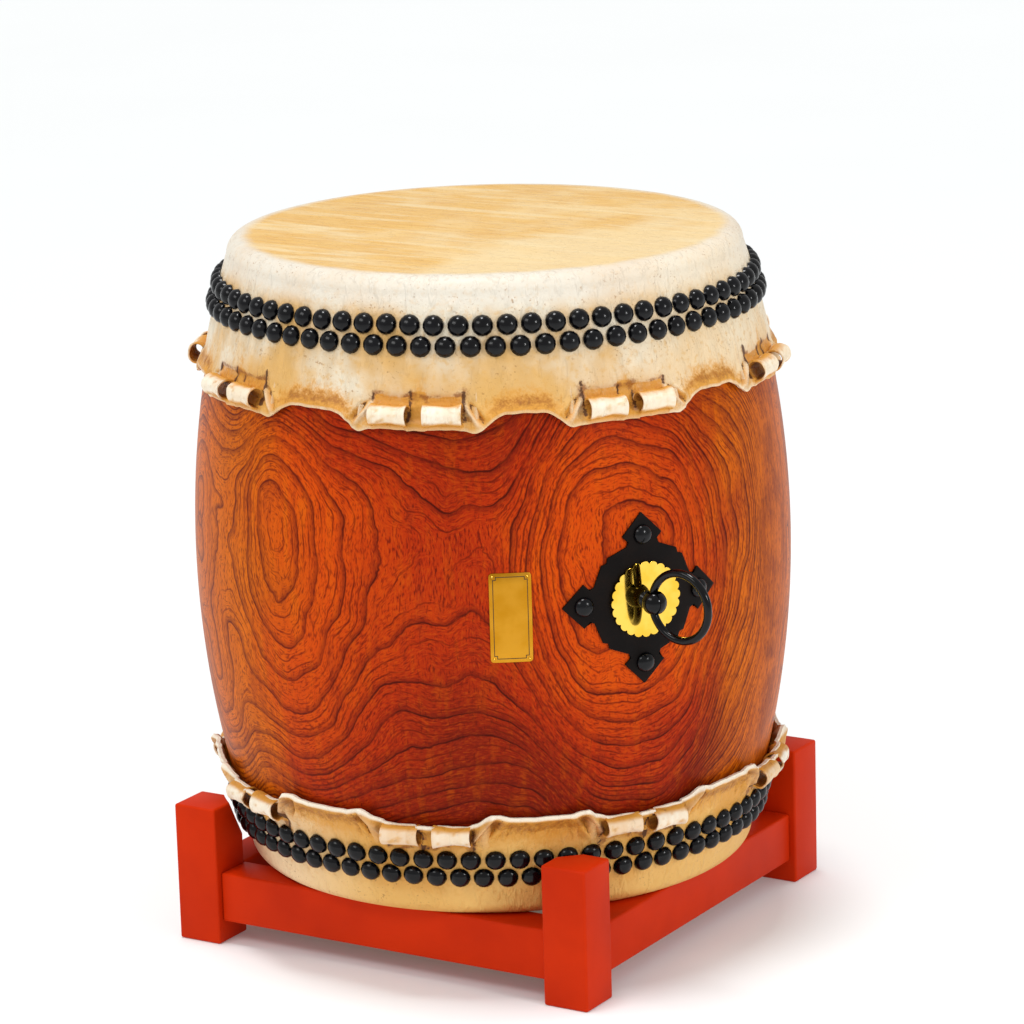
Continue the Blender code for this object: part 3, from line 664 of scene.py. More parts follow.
@dataclass(frozen=True)
class VermilionPaint:
    """Brushed vermilion oil paint on planed softwood: satin, with the wood's grain just showing."""

    light: str = "#CE3005"
    dark: str = "#C02A05"

    def material(self) -> bpy.types.Material:
        """Builds the paint."""
        recipe = Recipe("vermilion_paint", {"Roughness": 0.45, "Specular IOR Level": 0.06})
        add = recipe.add
        drift = add("TexNoise", {"Vector": recipe.place, "Scale": 1 / (70 * MM), "Detail": 3.0})
        brushed = add("TexNoise", {"Vector": add("VectorMath", (recipe.place, (0.25, 0.25, 1.0)),
                                                 operation="MULTIPLY"), "Scale": 1 / (1.6 * MM), "Detail": 3.0})
        paint = add("Mix", {0: add("MapRange", (drift, 0.35, 0.65, 0.0, 1.0)), 6: self.dark, 7: self.light}, 2,
                    data_type="RGBA")
        paint = add("Mix", {0: add("MapRange", (brushed, 0.55, 0.75, 0.0, 0.12)), 6: paint, 7: "#B02A14"}, 2,
                    data_type="RGBA")
        return recipe.finish({"Base Color": paint, "Normal": add("Bump", {
            "Height": brushed, "Strength": 0.1, "Distance": 0.25 * MM})})


class Gloss(Enum):
    """The metal and enamel finishes, by the name of what they are."""

    TACK = Metalwork("black_enamelled_tack", "#07070B", "#040406", 0.19, 0.0, 30.0, 3.0, 0.0, specular=0.26)
    IRON = Metalwork("baked_black_iron", "#140C09", "#0C0706", 0.5, 0.0, 25.0, 1.2, 0.12, specular=0.09)
    RING = Metalwork("rubbed_black_iron", "#0B0A0C", "#050506", 0.15, 0.0, 18.0, 2.0, 0.0, specular=0.24)
    GILT = Metalwork("gilt_brass", "#F0C656", "#E8B83E", 0.06, 1.0, 20.0, 4.0, 0.0)
    PLATE = Metalwork("anodised_gold_plate", "#D2952A", "#C4861A", 0.34, 1.0, 25.0, 1.0, 0.05)
    INK = Metalwork("plate_border_enamel", "#4A3214", "#38260F", 0.5, 0.0, 10.0, 1.0, 0.02)


# Sub-assemblies

@dataclass
class Shell:
    """The hollow lacquered shell."""

    barrel: Barrel
    sides: int = 256
    bands: int = 44

    def build(self, wood: bpy.types.Material) -> Piece:
        """Turns the shell from one profile.

        Args:
            wood: the finish.

        Returns:
            The shell.
        """
        form = self.barrel
        centre = float(form.radius(form.half - form.rounding)) - form.rounding
        corner = [(centre + form.rounding * math.cos(turn), form.half - form.rounding
                   + form.rounding * math.sin(turn)) for turn in np.linspace(0, math.pi / 2, 7)]
        span = form.half - form.rounding
        side = [(float(form.radius(level)), level) for level in np.linspace(-span, span, self.bands)[1:-1]]
        inside = [(float(form.radius(level)) - form.wall, level) for level in np.linspace(form.half, -form.half, 15)]
        outline = [(radius, -level) for radius, level in reversed(corner)] + side + corner + inside
        points = [(radius, 0.0, form.middle + level) for radius, level in outline]
        shell = draw_line("shell", points + points[:1])
        turn_round(shell, self.sides)
        shell.data.materials.append(wood)
        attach(shell, "drum")
        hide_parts("body_shell")
        log.info("shell turned: %d faces", len(shell.data.polygons))
        return shell


@dataclass
class Skin:
    """One rawhide head: the stretched skin, its tacks and its rolled ears."""

    name: str
    barrel: Barrel
    side: int
    skirt_at_ears: float
    skirt_between: float
    rise_over: float
    ear_depth: float
    ears: tuple[float, ...]
    tack_start: float
    flare: float
    lip_flare: float
    slot_lip: float
    pit_width: float
    thickness: float = 3.3 * MM
    gap: float = 0.3 * MM
    columns: int = 1080
    tack_rows: tuple[float, float] = (39 * MM, 57 * MM)
    tacks_in_row: int = 72
    tack_radius: float = 9.7 * MM
    tack_height: float = 7.5 * MM
    tube_radius: float = 9.5 * MM
    tube_wall: float = 2.2 * MM
    tube_length: float = 35 * MM
    slot: float = 15 * MM
    belly_round: float = 270 * MM

    @property
    def skirt(self) -> float:
        """The skin's greatest depth."""
        return max(self.skirt_at_ears, self.skirt_between)

    def beside_ear(self, angle: np.ndarray) -> tuple[np.ndarray, np.ndarray]:
        """Finds the nearest ear.

        Args:
            angle: the angles round the drum, in degrees.

        Returns:
            How far each angle is from the nearest ear's middle, along the skin, and which ear that is.
        """
        apart = np.stack([(angle - ear + 180.0) % 360.0 - 180.0 for ear in self.ears])
        nearest = np.abs(apart).argmin(axis=0)
        return np.radians(np.take_along_axis(apart, nearest[None], 0)[0]) * self.belly_round, nearest

    def outline(self) -> list[tuple[float, float]]:
        """The skin's profile, as radius and depth, from the middle over the edge and back inside."""
        form = self.barrel
        centre = float(form.radius(form.half - form.rounding)) - form.rounding
        points = [(radius, -self.thickness) for radius in np.linspace(0.0, centre - 4 * MM, 9)]
        for turn in np.linspace(math.pi / 2, 0.0, 10):
            reach = form.rounding + self.thickness
            points.append((centre + reach * math.cos(turn), form.rounding - reach * math.sin(turn)))
        upper = np.linspace(form.rounding, 60 * MM, 16)[1:]
        lower = np.linspace(60 * MM, self.skirt, 42)[1:]
        for depth in [*upper, *lower]:
            points.append((float(form.radius(form.half - depth)) + self.thickness, depth))
        edge = float(form.radius(form.half - self.skirt))
        points += [(edge + 0.7 * self.thickness, self.skirt + 0.9 * MM), (edge + self.gap, self.skirt + 0.6 * MM)]
        for depth in (self.skirt - 8 * MM, 60 * MM, form.rounding):
            points.append((float(form.radius(form.half - depth)) + self.gap, depth))
        for turn in np.linspace(0.0, math.pi / 2, 5)[1:]:
            reach = form.rounding + self.gap
            points.append((centre + reach * math.cos(turn), form.rounding - reach * math.sin(turn)))
        return points + [(0.0, -self.gap)]

    def shape(self, skin: Piece) -> None:
        """Waves the skirt's edge, raises its folds and stores where it is stained and where shade is painted into its
        pits, creases and slits.

        Args:
            skin: the turned skin, before it is put in place: Z is minus the depth.
        """
        points = read_points(skin)
        radius = np.hypot(points[:, 0], points[:, 1])
        turn = np.arctan2(points[:, 0], -points[:, 1])
        depth = -points[:, 2]
        on_skirt = depth > 61 * MM
        away, ear = self.beside_ear(np.degrees(turn))
        end = self.slot / 2 + self.tube_length
        beside = np.abs(away) - end
        key = ear * 2 + (away > 0)
        luck = np.array([[noise.noise(Vector((number * 1.37 + row * 5.1, 2.2, self.side * 3.0)))
                          for number in range(2 * len(self.ears))] for row in range(3)])
        first, second, third = (luck[row][key] * 1.6 for row in range(3))
        place = np.column_stack((np.sin(turn), -np.cos(turn), np.zeros_like(turn))) * self.belly_round

        # The edge waves: it is nearest the tacks between two ears on top, and beside the rolls below
        between = step_up(beside, (6 + 6 * first) * MM, (self.rise_over + 8 * second) * MM)
        edge = self.skirt_at_ears + (self.skirt_between - self.skirt_at_ears) * between
        under = self.side < 0
        edge = edge + (1.2 * rough(place, 26.0, 3.0) + (0.3 if under else 0.8) * rough(place, 9.0, 5.0)) * MM
        peak = (5.0, 14 * MM) if under else (2.5, 8 * MM)
        edge = edge + peak[0] * MM * bump_at(beside, (13 + 4 * third) * MM, peak[1])
        share = np.clip((depth - 60 * MM) / (self.skirt - 60 * MM), 0.0, 1.2)
        depth = np.where(on_skirt, 60 * MM + share * (edge - 60 * MM), depth)
        outside = radius > self.barrel.radius(self.barrel.half + points[:, 2]) + 0.5 * self.thickness
        here = np.column_stack((place[:, 0], place[:, 1], depth))
        free = step_up(depth, 60 * MM, self.skirt)
        to_edge = step_up(depth, edge - 22 * MM, edge - 3 * MM)
        behind = step_up(-beside, -1 * MM, 3 * MM)

        # A pit slants outwards from each roll's end to the edge, between two ridges
        slant = (3 + 1.5 * first) * MM + (0.75 + 0.2 * second) * (depth - self.ear_depth + 12 * MM)
        slant = slant + 1.2 * MM * rough(here, 9.0, 4.0)
        grow = step_up(depth, self.ear_depth - 15 * MM, self.ear_depth - 2 * MM)
        pit = bump_at(beside, slant, self.pit_width) * grow * step_up(-depth, 4.5 * MM - edge, 8 * MM - edge)
        inner = bump_at(beside, slant - 1.9 * self.pit_width, 0.9 * self.pit_width) * grow * (beside > -6 * MM)
        outer = bump_at(beside, slant + 2.0 * self.pit_width, 1.3 * self.pit_width) * grow
        inner = inner * (0.3 + 0.7 * step_up(edge - depth, -1 * MM, 10 * MM))
        outer = outer * (0.3 + 0.7 * step_up(edge - depth, -1 * MM, 10 * MM))
        lift = 0.4 * MM * rough(here, 30.0, 1.0) * free + 0.9 * MM * rough(here, 12.0, 9.0) * to_edge
        lift = lift + self.flare * ((1.0 + 0.3 * third) * inner + (0.75 - 0.3 * third) * outer - 0.5 * pit)
        # The free edge stands off the wood, most where it bends round a roll's end
        lift = lift + (self.lip_flare * between + 1.0 * MM) * to_edge ** 2
        lift = lift + 0.6 * self.flare * bump_at(beside, 9 * MM, 13 * MM) * to_edge ** 2
        # The skin sinks above the rolls, and closes each slot at the edge
        lift = lift - 1.7 * MM * bump_at(depth, self.ear_depth - 12 * MM, 4 * MM) * behind
        in_roll = behind * step_up(np.abs(away), self.slot / 2 - 2 * MM, self.slot / 2 + 2 * MM)
        lift = lift + 4.5 * MM * bump_at(depth, self.ear_depth + 9 * MM, 5 * MM) * in_roll
        closing = step_up(self.slot / 2 + 3 * MM - np.abs(away), 0.0, 3 * MM)
        lift = lift + self.slot_lip * closing * step_up(depth, edge - 8 * MM, edge - 5 * MM)
        lift = np.maximum(lift, -1.9 * MM)
        # The lip is a rounded bead
        bead = (1.8 if under else 0.9) * MM * bump_at(depth, edge - 2.4 * MM, 2.4 * MM)
        lift = lift + bead * outside * np.maximum(between, 0.4)

        follow = self.barrel.radius(self.barrel.half - depth) + np.where(outside, self.thickness, self.gap)
        inner_lift = np.where(outside, lift, np.maximum(lift, 0.0))
        radius = np.where(on_skirt, follow + inner_lift, radius)
        write_points(skin, np.column_stack((radius * np.sin(turn), -radius * np.cos(turn), -depth)))

        slots = step_up(self.slot / 2 + 1 * MM - np.abs(away), 0.0, 2 * MM)
        streak_up = bump_at(away, 4 * MM * first, 8 * MM) * step_up(depth, self.ear_depth - 48 * MM,
                                                                    self.ear_depth - 18 * MM)
        slots = slots * step_up(depth, self.ear_depth - 20 * MM, self.ear_depth - 16 * MM)
        slots = slots * step_up(-depth, 6 * MM - edge, 8 * MM - edge)
        fold = self.ear_depth - 16 * MM + (2.2 * rough(place, 13.0, 2.0) + 0.8 * rough(place, 4.0, 4.0)) * MM
        band = step_up(depth, fold - 0.5 * MM, fold + 3 * MM) * behind * (0.6 + 0.4 * step_up(rough(here, 8.0, 12.0), -0.3, 0.3))
        crease = bump_at(depth, fold, 2.2 * MM) * behind * (0.25 + 0.75 * step_up(rough(here, 10.0, 8.0), -0.25, 0.35))
        stain = between ** 0.6 * bump_at(depth, edge - 9 * MM, (8 if not under else 10) * MM)
        glow = bump_at(depth, edge - 4 * MM, (17 if not under else 24) * MM)
        lip = step_up(depth, edge - (2.2 if not under else 3.4) * MM, edge - 1.0 * MM) * on_skirt
        # Ochre is stain in the slots, streaks, bands and pits and along the edge; brown is stain along the edge and
        # painted shade in the creases and pits; dark is painted shade in the pits and creases
        ochre = 0.9 * slots + 0.5 * streak_up + 0.9 * band + 1.0 * pit + (0.5 + 0.35 * between) * glow
        brown = 1.0 * crease + 0.6 * pit + 0.8 * stain
        dark = (0.6 if under else 0.5) * pit * step_up(-depth, -self.ear_depth, 4 * MM - self.ear_depth)
        dark = dark + 0.4 * crease * step_up(rough(here, 9.0, 8.0), 0.0, 0.35)
        dark = dark + 0.45 * (not under) * bump_at(beside, slant, 0.8 * self.pit_width) * grow
        dark = dark + 0.5 * under * bump_at(beside, slant + 1.1 * self.pit_width, 1.6 * MM) * grow
        # The skin's slits at the rolls' ends are painted dark as painted shade of their openings, with brown stain
        # round each, and reach further up at the end that faces the drum's front corner
        hand = np.where(np.sin(turn - math.radians(32.0)) < 0.0, -1.0, 1.0)
        for line, width, top, low in ((-self.slot / 2, 1.9, -20, -6), (self.slot / 2, 2.5, -25, 9),
                                      (-end, 2.5, -28, 9), (end, 2.0, -23, -8)):
            line = line * hand
            within = step_up(depth, self.ear_depth + top * MM, self.ear_depth + (top + 7) * MM)
            within = within * step_up(-depth, -self.ear_depth - low * MM, -self.ear_depth - (low - 3) * MM)
            strength = 0.66 + 0.3 * third + 0.6 * rough(here + line[:, None], 14.0, 6.0)
            wander = line + 2.2 * MM * rough(here, 11.0, 3.0)
            dark = dark + strength * bump_at(away, wander, width * MM) * within
            brown = brown + 0.8 * bump_at(away, wander, 2.6 * width * MM) * within
        write_shade(skin, "ochre", ochre * (1 - (0.9 if under else 0.4) * lip))
        write_shade(skin, "brown", brown * (1 - lip))
        write_shade(skin, "pale", (0.9 if under else 0.2) * lip + (0.2 if under else 0.4) * inner * (1 - pit))
        write_shade(skin, "dark", dark * (1 - lip) * on_skirt)

    def put(self, piece: Piece) -> None:
        """Moves a piece modelled with Z as minus the depth to its end of the drum."""
        points = read_points(piece)
        face = self.barrel.middle + self.side * self.barrel.half
        points[:, 2] = face + self.side * points[:, 2]
        write_points(piece, points)
        if self.side < 0:
            hold(piece)
            bpy.ops.object.mode_set(mode="EDIT")
            bpy.ops.mesh.select_all(action="SELECT")
            bpy.ops.mesh.flip_normals()
            bpy.ops.object.mode_set(mode="OBJECT")

    def finish(self, piece: Piece, material: bpy.types.Material) -> None:
        """Gives a piece its material and lets it move with the drum."""
        piece.data.materials.append(material)
        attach(piece, "drum")
        log.info("%s made: %d faces", piece.name, len(piece.data.polygons))

    def stretch_skin(self, hide: bpy.types.Material) -> None:
        """Makes the stretched skin with its skirt."""
        skin = draw_line(f"{self.name}_skin", [(radius, 0.0, -depth) for radius, depth in self.outline()])
        turn_round(skin, self.columns)
        self.shape(skin)
        self.put(skin)
        hold(skin)
        bpy.ops.object.shade_smooth()
        self.finish(skin, hide)
        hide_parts(f"{self.name}_head")

    def roll_ears(self, hide: bpy.types.Material) -> None:
        """Makes the open rolls of skin, two to an ear."""
        bpy.ops.object.select_all(action="DESELECT")
        bpy.ops.mesh.primitive_cylinder_add(vertices=32, radius=self.tube_radius, depth=self.tube_length,
                                            end_fill_type="NOTHING", rotation=(0.0, math.pi / 2, 0.0))
        tube = bpy.context.object
        bpy.ops.object.transform_apply(location=True, rotation=True, scale=True)
        bpy.ops.object.mode_set(mode="EDIT")
        bpy.ops.mesh.select_all(action="SELECT")
        bpy.ops.mesh.subdivide(number_cuts=1)
        bpy.ops.object.mode_set(mode="OBJECT")
        for cut in np.linspace(-0.5, 0.5, 13)[1:-1]:
            bpy.ops.object.mode_set(mode="EDIT")
            bpy.ops.mesh.select_all(action="SELECT")
            bpy.ops.mesh.bisect(plane_co=(cut * self.tube_length, 0, 0), plane_no=(1, 0, 0))
            bpy.ops.object.mode_set(mode="OBJECT")
        apply_modifier(tube, "SOLIDIFY", thickness=self.tube_wall, offset=-1.0)
        apply_modifier(tube, "BEVEL", width=0.6 * MM, segments=2, limit_method="ANGLE",
                       angle_limit=math.radians(50))
        places = []
        level = self.side * (self.barrel.half - self.ear_depth)
        seat = self.thickness + self.tube_radius - 2.2 * MM
        half_step = math.degrees((self.slot + self.tube_length) / 2 / (self.belly_round + seat))
        for ear in self.ears:
            for hand in (-1.0, 1.0):
                places.append(self.barrel.frame(ear + hand * half_step, level, seat, upright=True))
        middles = [place.translation.copy() for place in places]
        rolls = copy_at(tube, places, f"{self.name}_ears")
        points = read_points(rolls)
        centres = np.array([list(middle) for middle in middles])
        centres = centres[np.linalg.norm(points[:, None] - centres[None], axis=2).argmin(axis=1)]
        local = points - centres
        outward = centres[:, :2] / np.linalg.norm(centres[:, :2], axis=1)[:, None]
        out = (local[:, :2] * outward).sum(axis=1)
        along = local[:, 0] * -outward[:, 1] + local[:, 1] * outward[:, 0]
        up = local[:, 2] * self.side
        spread = np.hypot(out, up)
        end = step_up(np.abs(along), self.tube_length / 2 - 6 * MM, self.tube_length / 2)
        swell = 1.5 * MM * rough(points, 16.0, 4.0) + 0.9 * MM * rough(points, 7.0, 8.0) * end
        swell = swell + 0.8 * MM * end - 0.8 * MM * bump_at(along, 3 * MM, 9 * MM)
        scale = (spread + swell) / np.maximum(spread, 1e-6)
        skew = 1.2 * MM * rough(centres + 0.4 * local, 30.0, 6.0)
        out_new, up_new = out * scale, up * scale + skew
        moved = centres.copy()
        moved[:, :2] += outward * out_new[:, None]
        moved[:, 0] += -outward[:, 1] * along * (1 + 0.03 * rough(centres, 9.0, 2.0))
        moved[:, 1] += outward[:, 0] * along * (1 + 0.03 * rough(centres, 9.0, 2.0))
        moved[:, 2] += up_new * self.side
        write_points(rolls, moved)
        # Inside each roll the hide is painted ochre and brown: painted shade in the hollow
        inside = step_up(self.tube_radius - self.tube_wall * 0.6 - spread, 0.0, 0.6 * MM)
        under = step_up(-up, 3 * MM, 9 * MM)
        above = step_up(up, 5 * MM, 9 * MM)
        tint = rough(centres, 7.0, 3.0)
        streaked = 0.5 + 0.5 * rough(np.column_stack((along, along * 0 + 0.01 * centres[:, 0], centres[:, 1])), 5.0)
        write_shade(rolls, "ochre", 0.95 * inside + 0.7 * under + 0.8 * above + 0.3 * streaked
                    + 0.5 * tint)
        rubbed = step_up(rough(points, 5.0, 7.0), 0.1, 0.6)
        write_shade(rolls, "brown", 0.9 * inside + 0.45 * streaked * under + 0.5 * rubbed * (1 - inside))
        write_shade(rolls, "pale", (0.85 + 0.8 * tint) * step_up(out, 0.0, 6 * MM) * (1 - inside) * (1 - 0.5 * streaked)
                    * (1 - step_up(-up, 4 * MM, 8 * MM)) * (1 - 0.7 * rubbed))
        write_shade(rolls, "dark", 0.0 * out)
        hold(rolls)
        bpy.ops.object.shade_smooth_by_angle(angle=math.radians(50))
        self.finish(rolls, hide)

    def drive_tacks(self, enamel: bpy.types.Material) -> None:
        """Makes the two staggered rows of domed tacks."""
        bpy.ops.object.select_all(action="DESELECT")
        bpy.ops.mesh.primitive_uv_sphere_add(segments=14, ring_count=8, radius=self.tack_radius)
        tack = bpy.context.object
        bpy.ops.object.mode_set(mode="EDIT")
        bpy.ops.mesh.select_all(action="SELECT")
        bpy.ops.mesh.bisect(plane_co=(0, 0, 0), plane_no=(0, 0, 1), clear_inner=True, use_fill=True)
        bpy.ops.mesh.select_all(action="SELECT")
        bpy.ops.transform.resize(value=(1.0, 1.0, self.tack_height / self.tack_radius))
        bpy.ops.object.mode_set(mode="OBJECT")
        close_up(tack)
        places = []
        pitch = 360.0 / self.tacks_in_row
        for row, depth in enumerate(self.tack_rows):
            for count in range(self.tacks_in_row):
                angle = self.tack_start + pitch * (count + 0.5 * row)
                level = self.side * (self.barrel.half - depth)
                wander = Vector((count * 1.7, row * 5.3, self.side * 2.1))
                drift = 0.12 * noise.noise(wander)
                places.append(self.barrel.frame(angle + drift, level + 0.7 * MM * noise.noise(wander * 1.9),
                                                self.thickness - 0.4 * MM))
        tacks = copy_at(tack, places, f"{self.name}_tacks")
        self.finish(tacks, enamel)

    def build(self, hide: bpy.types.Material, enamel: bpy.types.Material) -> None:
        """Makes the whole head.

        Args:
            hide: the skin's finish.
            enamel: the tacks' finish.
        """
        self.stretch_skin(hide)
        self.roll_ears(hide)
        self.drive_tacks(enamel)


@dataclass
class RingFitting:
    """One carrying ring with its eye, washer, escutcheon and nails."""

    name: str
    barrel: Barrel
    angle: float
    level: float = 2.5 * MM
    gap: float = 0.3 * MM
    plate: float = 2 * MM
    tip: float = 79.5 * MM
    diamond: float = 20.4 * MM
    body: float = 49.5 * MM
    neck: float = 15 * MM
    washer_radius: float = 35 * MM
    washer_thickness: float = 1.5 * MM
    lobes: int = 24
    lobe_depth: float = 2.4 * MM
    nail_radius: float = 9 * MM
    nail_height: float = 6.4 * MM
    eye_reach: float = 19 * MM
    eye_radius: float = 11.3 * MM
    eye_bore: float = 6.5 * MM
    shank_radius: float = 5 * MM
    clinch_length: float = 52 * MM
    ring_radius: float = 31 * MM
    ring_wire: float = 3.75 * MM
    ring_sag: float = 1.8 * MM
    ring_swing: float = 22.0

    def finish(self, piece: Piece, node: str, slot: str, material: bpy.types.Material, body: str = "drum") -> None:
        """Dresses a piece and lets it stand for its CAD node.

        Args:
            piece: the piece.
            node: the CAD node that it replaces.
            slot: the record's material slot; not used.
            material: the finish.
            body: the body that it moves with.
        """
        piece.data.materials.append(material)
        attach(piece, body)
        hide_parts(node)
        log.info("%s made: %d faces", piece.name, len(piece.data.polygons))

    def fill_and_thicken(self, sheet: Piece, cuts: int, thickness: float, bevel: float) -> None:
        """Cuts a flat outline into strips both ways, gives it thickness and rounds its edges.

        Args:
            sheet: the flat face.
            cuts: how many cuts go each way.
            thickness: the sheet's thickness.
            bevel: the width of its rounded edges.
        """
        hold(sheet)
        bpy.ops.object.mode_set(mode="EDIT")
        for cut in np.linspace(-self.tip, self.tip, cuts):
            for normal in ((1, 0, 0), (0, 1, 0)):
                bpy.ops.mesh.select_all(action="SELECT")
                bpy.ops.mesh.bisect(plane_co=(normal[0] * cut, normal[1] * cut, 0), plane_no=normal)
        bpy.ops.object.mode_set(mode="OBJECT")
        close_up(sheet)
        if sheet.data.polygons[0].normal.z < 0:
            hold(sheet)
            bpy.ops.object.mode_set(mode="EDIT")
            bpy.ops.mesh.select_all(action="SELECT")
            bpy.ops.mesh.flip_normals()
            bpy.ops.object.mode_set(mode="OBJECT")
        apply_modifier(sheet, "SOLIDIFY", thickness=thickness, offset=1.0)
        apply_modifier(sheet, "BEVEL", width=bevel, segments=2, limit_method="ANGLE",
                       angle_limit=math.radians(40))

    def make_escutcheon(self, iron: bpy.types.Material) -> None:
        """Makes the pointed plate with a diamond at each tip and a stepped body."""
        centre = self.tip - self.diamond
        body = self.body
        quarter = [(0.0, self.tip), (self.diamond, centre), (self.neck, centre - (self.diamond - self.neck)),
                   (0.335 * body, body), (0.72 * body, 0.845 * body), (0.745 * body, 0.745 * body)]
        points = []
        for quadrant in range(4):
            turn = Matrix.Rotation(-math.pi / 2 * quadrant, 3, "Z")
            mirror = [(up, across) for across, up in quarter[4:0:-1]]
            points += [turn @ Vector((across, up, 0.0)) for across, up in quarter + mirror]
        plate = draw_line(f"{self.name}_plate", points, closed=True)
        self.fill_and_thicken(plate, 23, self.plate, 0.5 * MM)
        self.barrel.wrap(plate, self.angle, self.level, self.gap)
        close_up(plate, smooth=30.0)
        self.finish(plate, f"{self.name}_escutcheon", "black_iron", iron)

    def make_washer(self, gilt: bpy.types.Material) -> None:
        """Makes the gilt washer with a lobed rim."""
        points = []
        steps = self.lobes * 6
        for step in range(steps):
            turn = math.tau * step / steps
            lobe = abs(math.cos(self.lobes * turn / 2)) ** 0.6
            radius = self.washer_radius - self.lobe_depth * (1 - lobe)
            points.append((radius * math.cos(turn), radius * math.sin(turn), 0.0))
        washer = draw_line(f"{self.name}_petal_washer", points, closed=True)
        self.fill_and_thicken(washer, 15, self.washer_thickness, 0.2 * MM)
        # It is cast flat on top and follows the shell below
        flat = read_points(washer)
        round_radius = float(self.barrel.radius(self.level))
        rise = (round_radius + flat[:, 2]) / np.cos(flat[:, 0] / round_radius) - round_radius
        rise = rise + flat[:, 1] ** 2 / (2 * self.barrel.arc)
        flat[:, 2] = np.where(flat[:, 2] > self.washer_thickness / 2, rise, flat[:, 2])
        write_points(washer, flat)
        self.barrel.wrap(washer, self.angle, self.level, self.gap * 2 + self.plate)
        close_up(washer, smooth=8.0)
        self.finish(washer, f"{self.name}_washer", "gilt_brass", gilt)

    def make_eye(self, iron: bpy.types.Material) -> None:
        """Makes the ball eye on its collar, with the shank and the clinched legs behind the wall."""
        seat = self.gap * 3 + self.plate + self.washer_thickness
        inner = -self.barrel.wall - 2.5 * MM - 2 * self.gap - 3 * MM
        neck_turn = math.asin(6 * MM / self.eye_radius)
        profile = [(0.0, inner - 5 * MM), (self.shank_radius, inner - 5 * MM), (self.shank_radius, seat),
                   (8 * MM, seat), (8.2 * MM, seat + 1 * MM), (7.6 * MM, seat + 2.2 * MM)]
        for turn in np.linspace(neck_turn, math.pi, 22):
            profile.append((self.eye_radius * math.sin(turn), self.eye_reach - self.eye_radius * math.cos(turn)))
        profile[-1] = (0.0, self.eye_reach + self.eye_radius)
        eye = draw_line(f"{self.name}_eye", [(radius, 0.0, height) for radius, height in profile])
        turn_round(eye, 48)
        bpy.ops.object.select_all(action="DESELECT")
        bpy.ops.mesh.primitive_cylinder_add(vertices=48, radius=self.eye_bore, depth=4 * self.eye_radius,
                                            location=(0, 0, self.eye_reach), rotation=(math.pi / 2, 0, 0))
        bore = bpy.context.object
        apply_modifier(eye, "BOOLEAN", operation="DIFFERENCE", solver="EXACT", object=bore)
        bpy.data.objects.remove(bore, do_unlink=True)
        apply_modifier(eye, "BEVEL", width=0.7 * MM, segments=3, limit_method="ANGLE",
                       angle_limit=math.radians(38))
        bpy.ops.object.select_all(action="DESELECT")
        bpy.ops.mesh.primitive_cube_add(size=1.0, location=(0, 0, inner - 2 * MM))
        legs = bpy.context.object
        bpy.ops.transform.resize(value=(9 * MM, self.clinch_length, 4 * MM))
        bpy.ops.object.transform_apply(location=True, rotation=True, scale=True)
        apply_modifier(legs, "BEVEL", width=1.2 * MM, segments=2)
        hold(legs, eye)
        bpy.ops.object.join()
        eye.data.transform(self.barrel.frame(self.angle, self.level))
        hold(eye)
        bpy.ops.object.shade_smooth_by_angle(angle=math.radians(30))
        self.finish(eye, f"{self.name}_eye_pin", "black_iron", iron)

    def make_nails(self, iron: bpy.types.Material) -> None:
        """Makes the four domed nails."""
        spread = self.tip - self.diamond
        sweep = math.degrees(spread / (self.barrel.mouth_radius + self.barrel.bulge))
        seat = 2 * self.gap + self.plate
        for place, turned, level in (("top", 0.0, spread), ("right", sweep, 0.0), ("bottom", 0.0, -spread),
                                     ("left", -sweep, 0.0)):
            profile = [(0.0, -24 * MM), (1.6 * MM, -17 * MM), (1.6 * MM, 0.0), (self.nail_radius, 0.0)]
            for turn in np.linspace(0.0, math.pi / 2, 12)[1:]:
                profile.append((self.nail_radius * math.cos(turn), self.nail_height * math.sin(turn)))
            profile[-1] = (0.0, self.nail_height)
            nail = draw_line(f"{self.name}_dome_nail_{place}",
                             [(radius, 0.0, seat + height) for radius, height in profile])
            turn_round(nail, 40)
            nail.data.transform(self.barrel.frame(self.angle + turned, self.level + level))
            self.finish(nail, f"{self.name}_nail_{place}", "black_iron", iron)

    def make_ring(self, iron: bpy.types.Material) -> None:
        """Makes the forged ring, a little thicker away from the eye."""
        bpy.ops.object.select_all(action="DESELECT")
        bpy.ops.mesh.primitive_torus_add(major_radius=self.ring_radius, minor_radius=self.ring_wire,
                                         major_segments=128, minor_segments=24, rotation=(math.pi / 2, 0, 0))
        ring = bpy.context.object
        ring.name = f"{self.name}_carrying_ring"
        bpy.ops.object.transform_apply(location=True, rotation=True, scale=True)
        points = read_points(ring)
        turn = np.arctan2(points[:, 2], points[:, 0])
        core = np.column_stack((np.cos(turn), np.zeros_like(turn), np.sin(turn))) * self.ring_radius
        thick = 0.97 + 0.04 * step_up(np.cos(turn), -1.0, 1.0) + 0.015 * rough(core, 9.0, 1.0)
        write_points(ring, core + (points - core) * thick[:, None])
        low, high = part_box(f"{self.name}_ring")
        eye = self.barrel.frame(self.angle, self.level) @ Vector((0.0, 0.0, self.eye_reach))
        turned = Matrix.Rotation(math.radians(self.angle - 90.0 + self.ring_swing), 4, "Z")
        offset = Matrix.Translation((self.ring_radius - self.ring_sag, 0.0, 0.0))
        flush = Vector(((low[0] + high[0]) / 2, (low[1] + high[1]) / 2, (low[2] + high[2]) / 2))
        placed = Matrix.Translation(eye) @ turned @ offset
        log.info("%s ring centre is %.2f mm from its node's", self.name, (placed.translation - flush).length / MM)
        ring.data.transform(Matrix.Translation(flush) @ turned)
        hold(ring)
        bpy.ops.object.shade_smooth()
        self.finish(ring, f"{self.name}_ring", "black_iron", iron, body=f"{self.name}_ring")

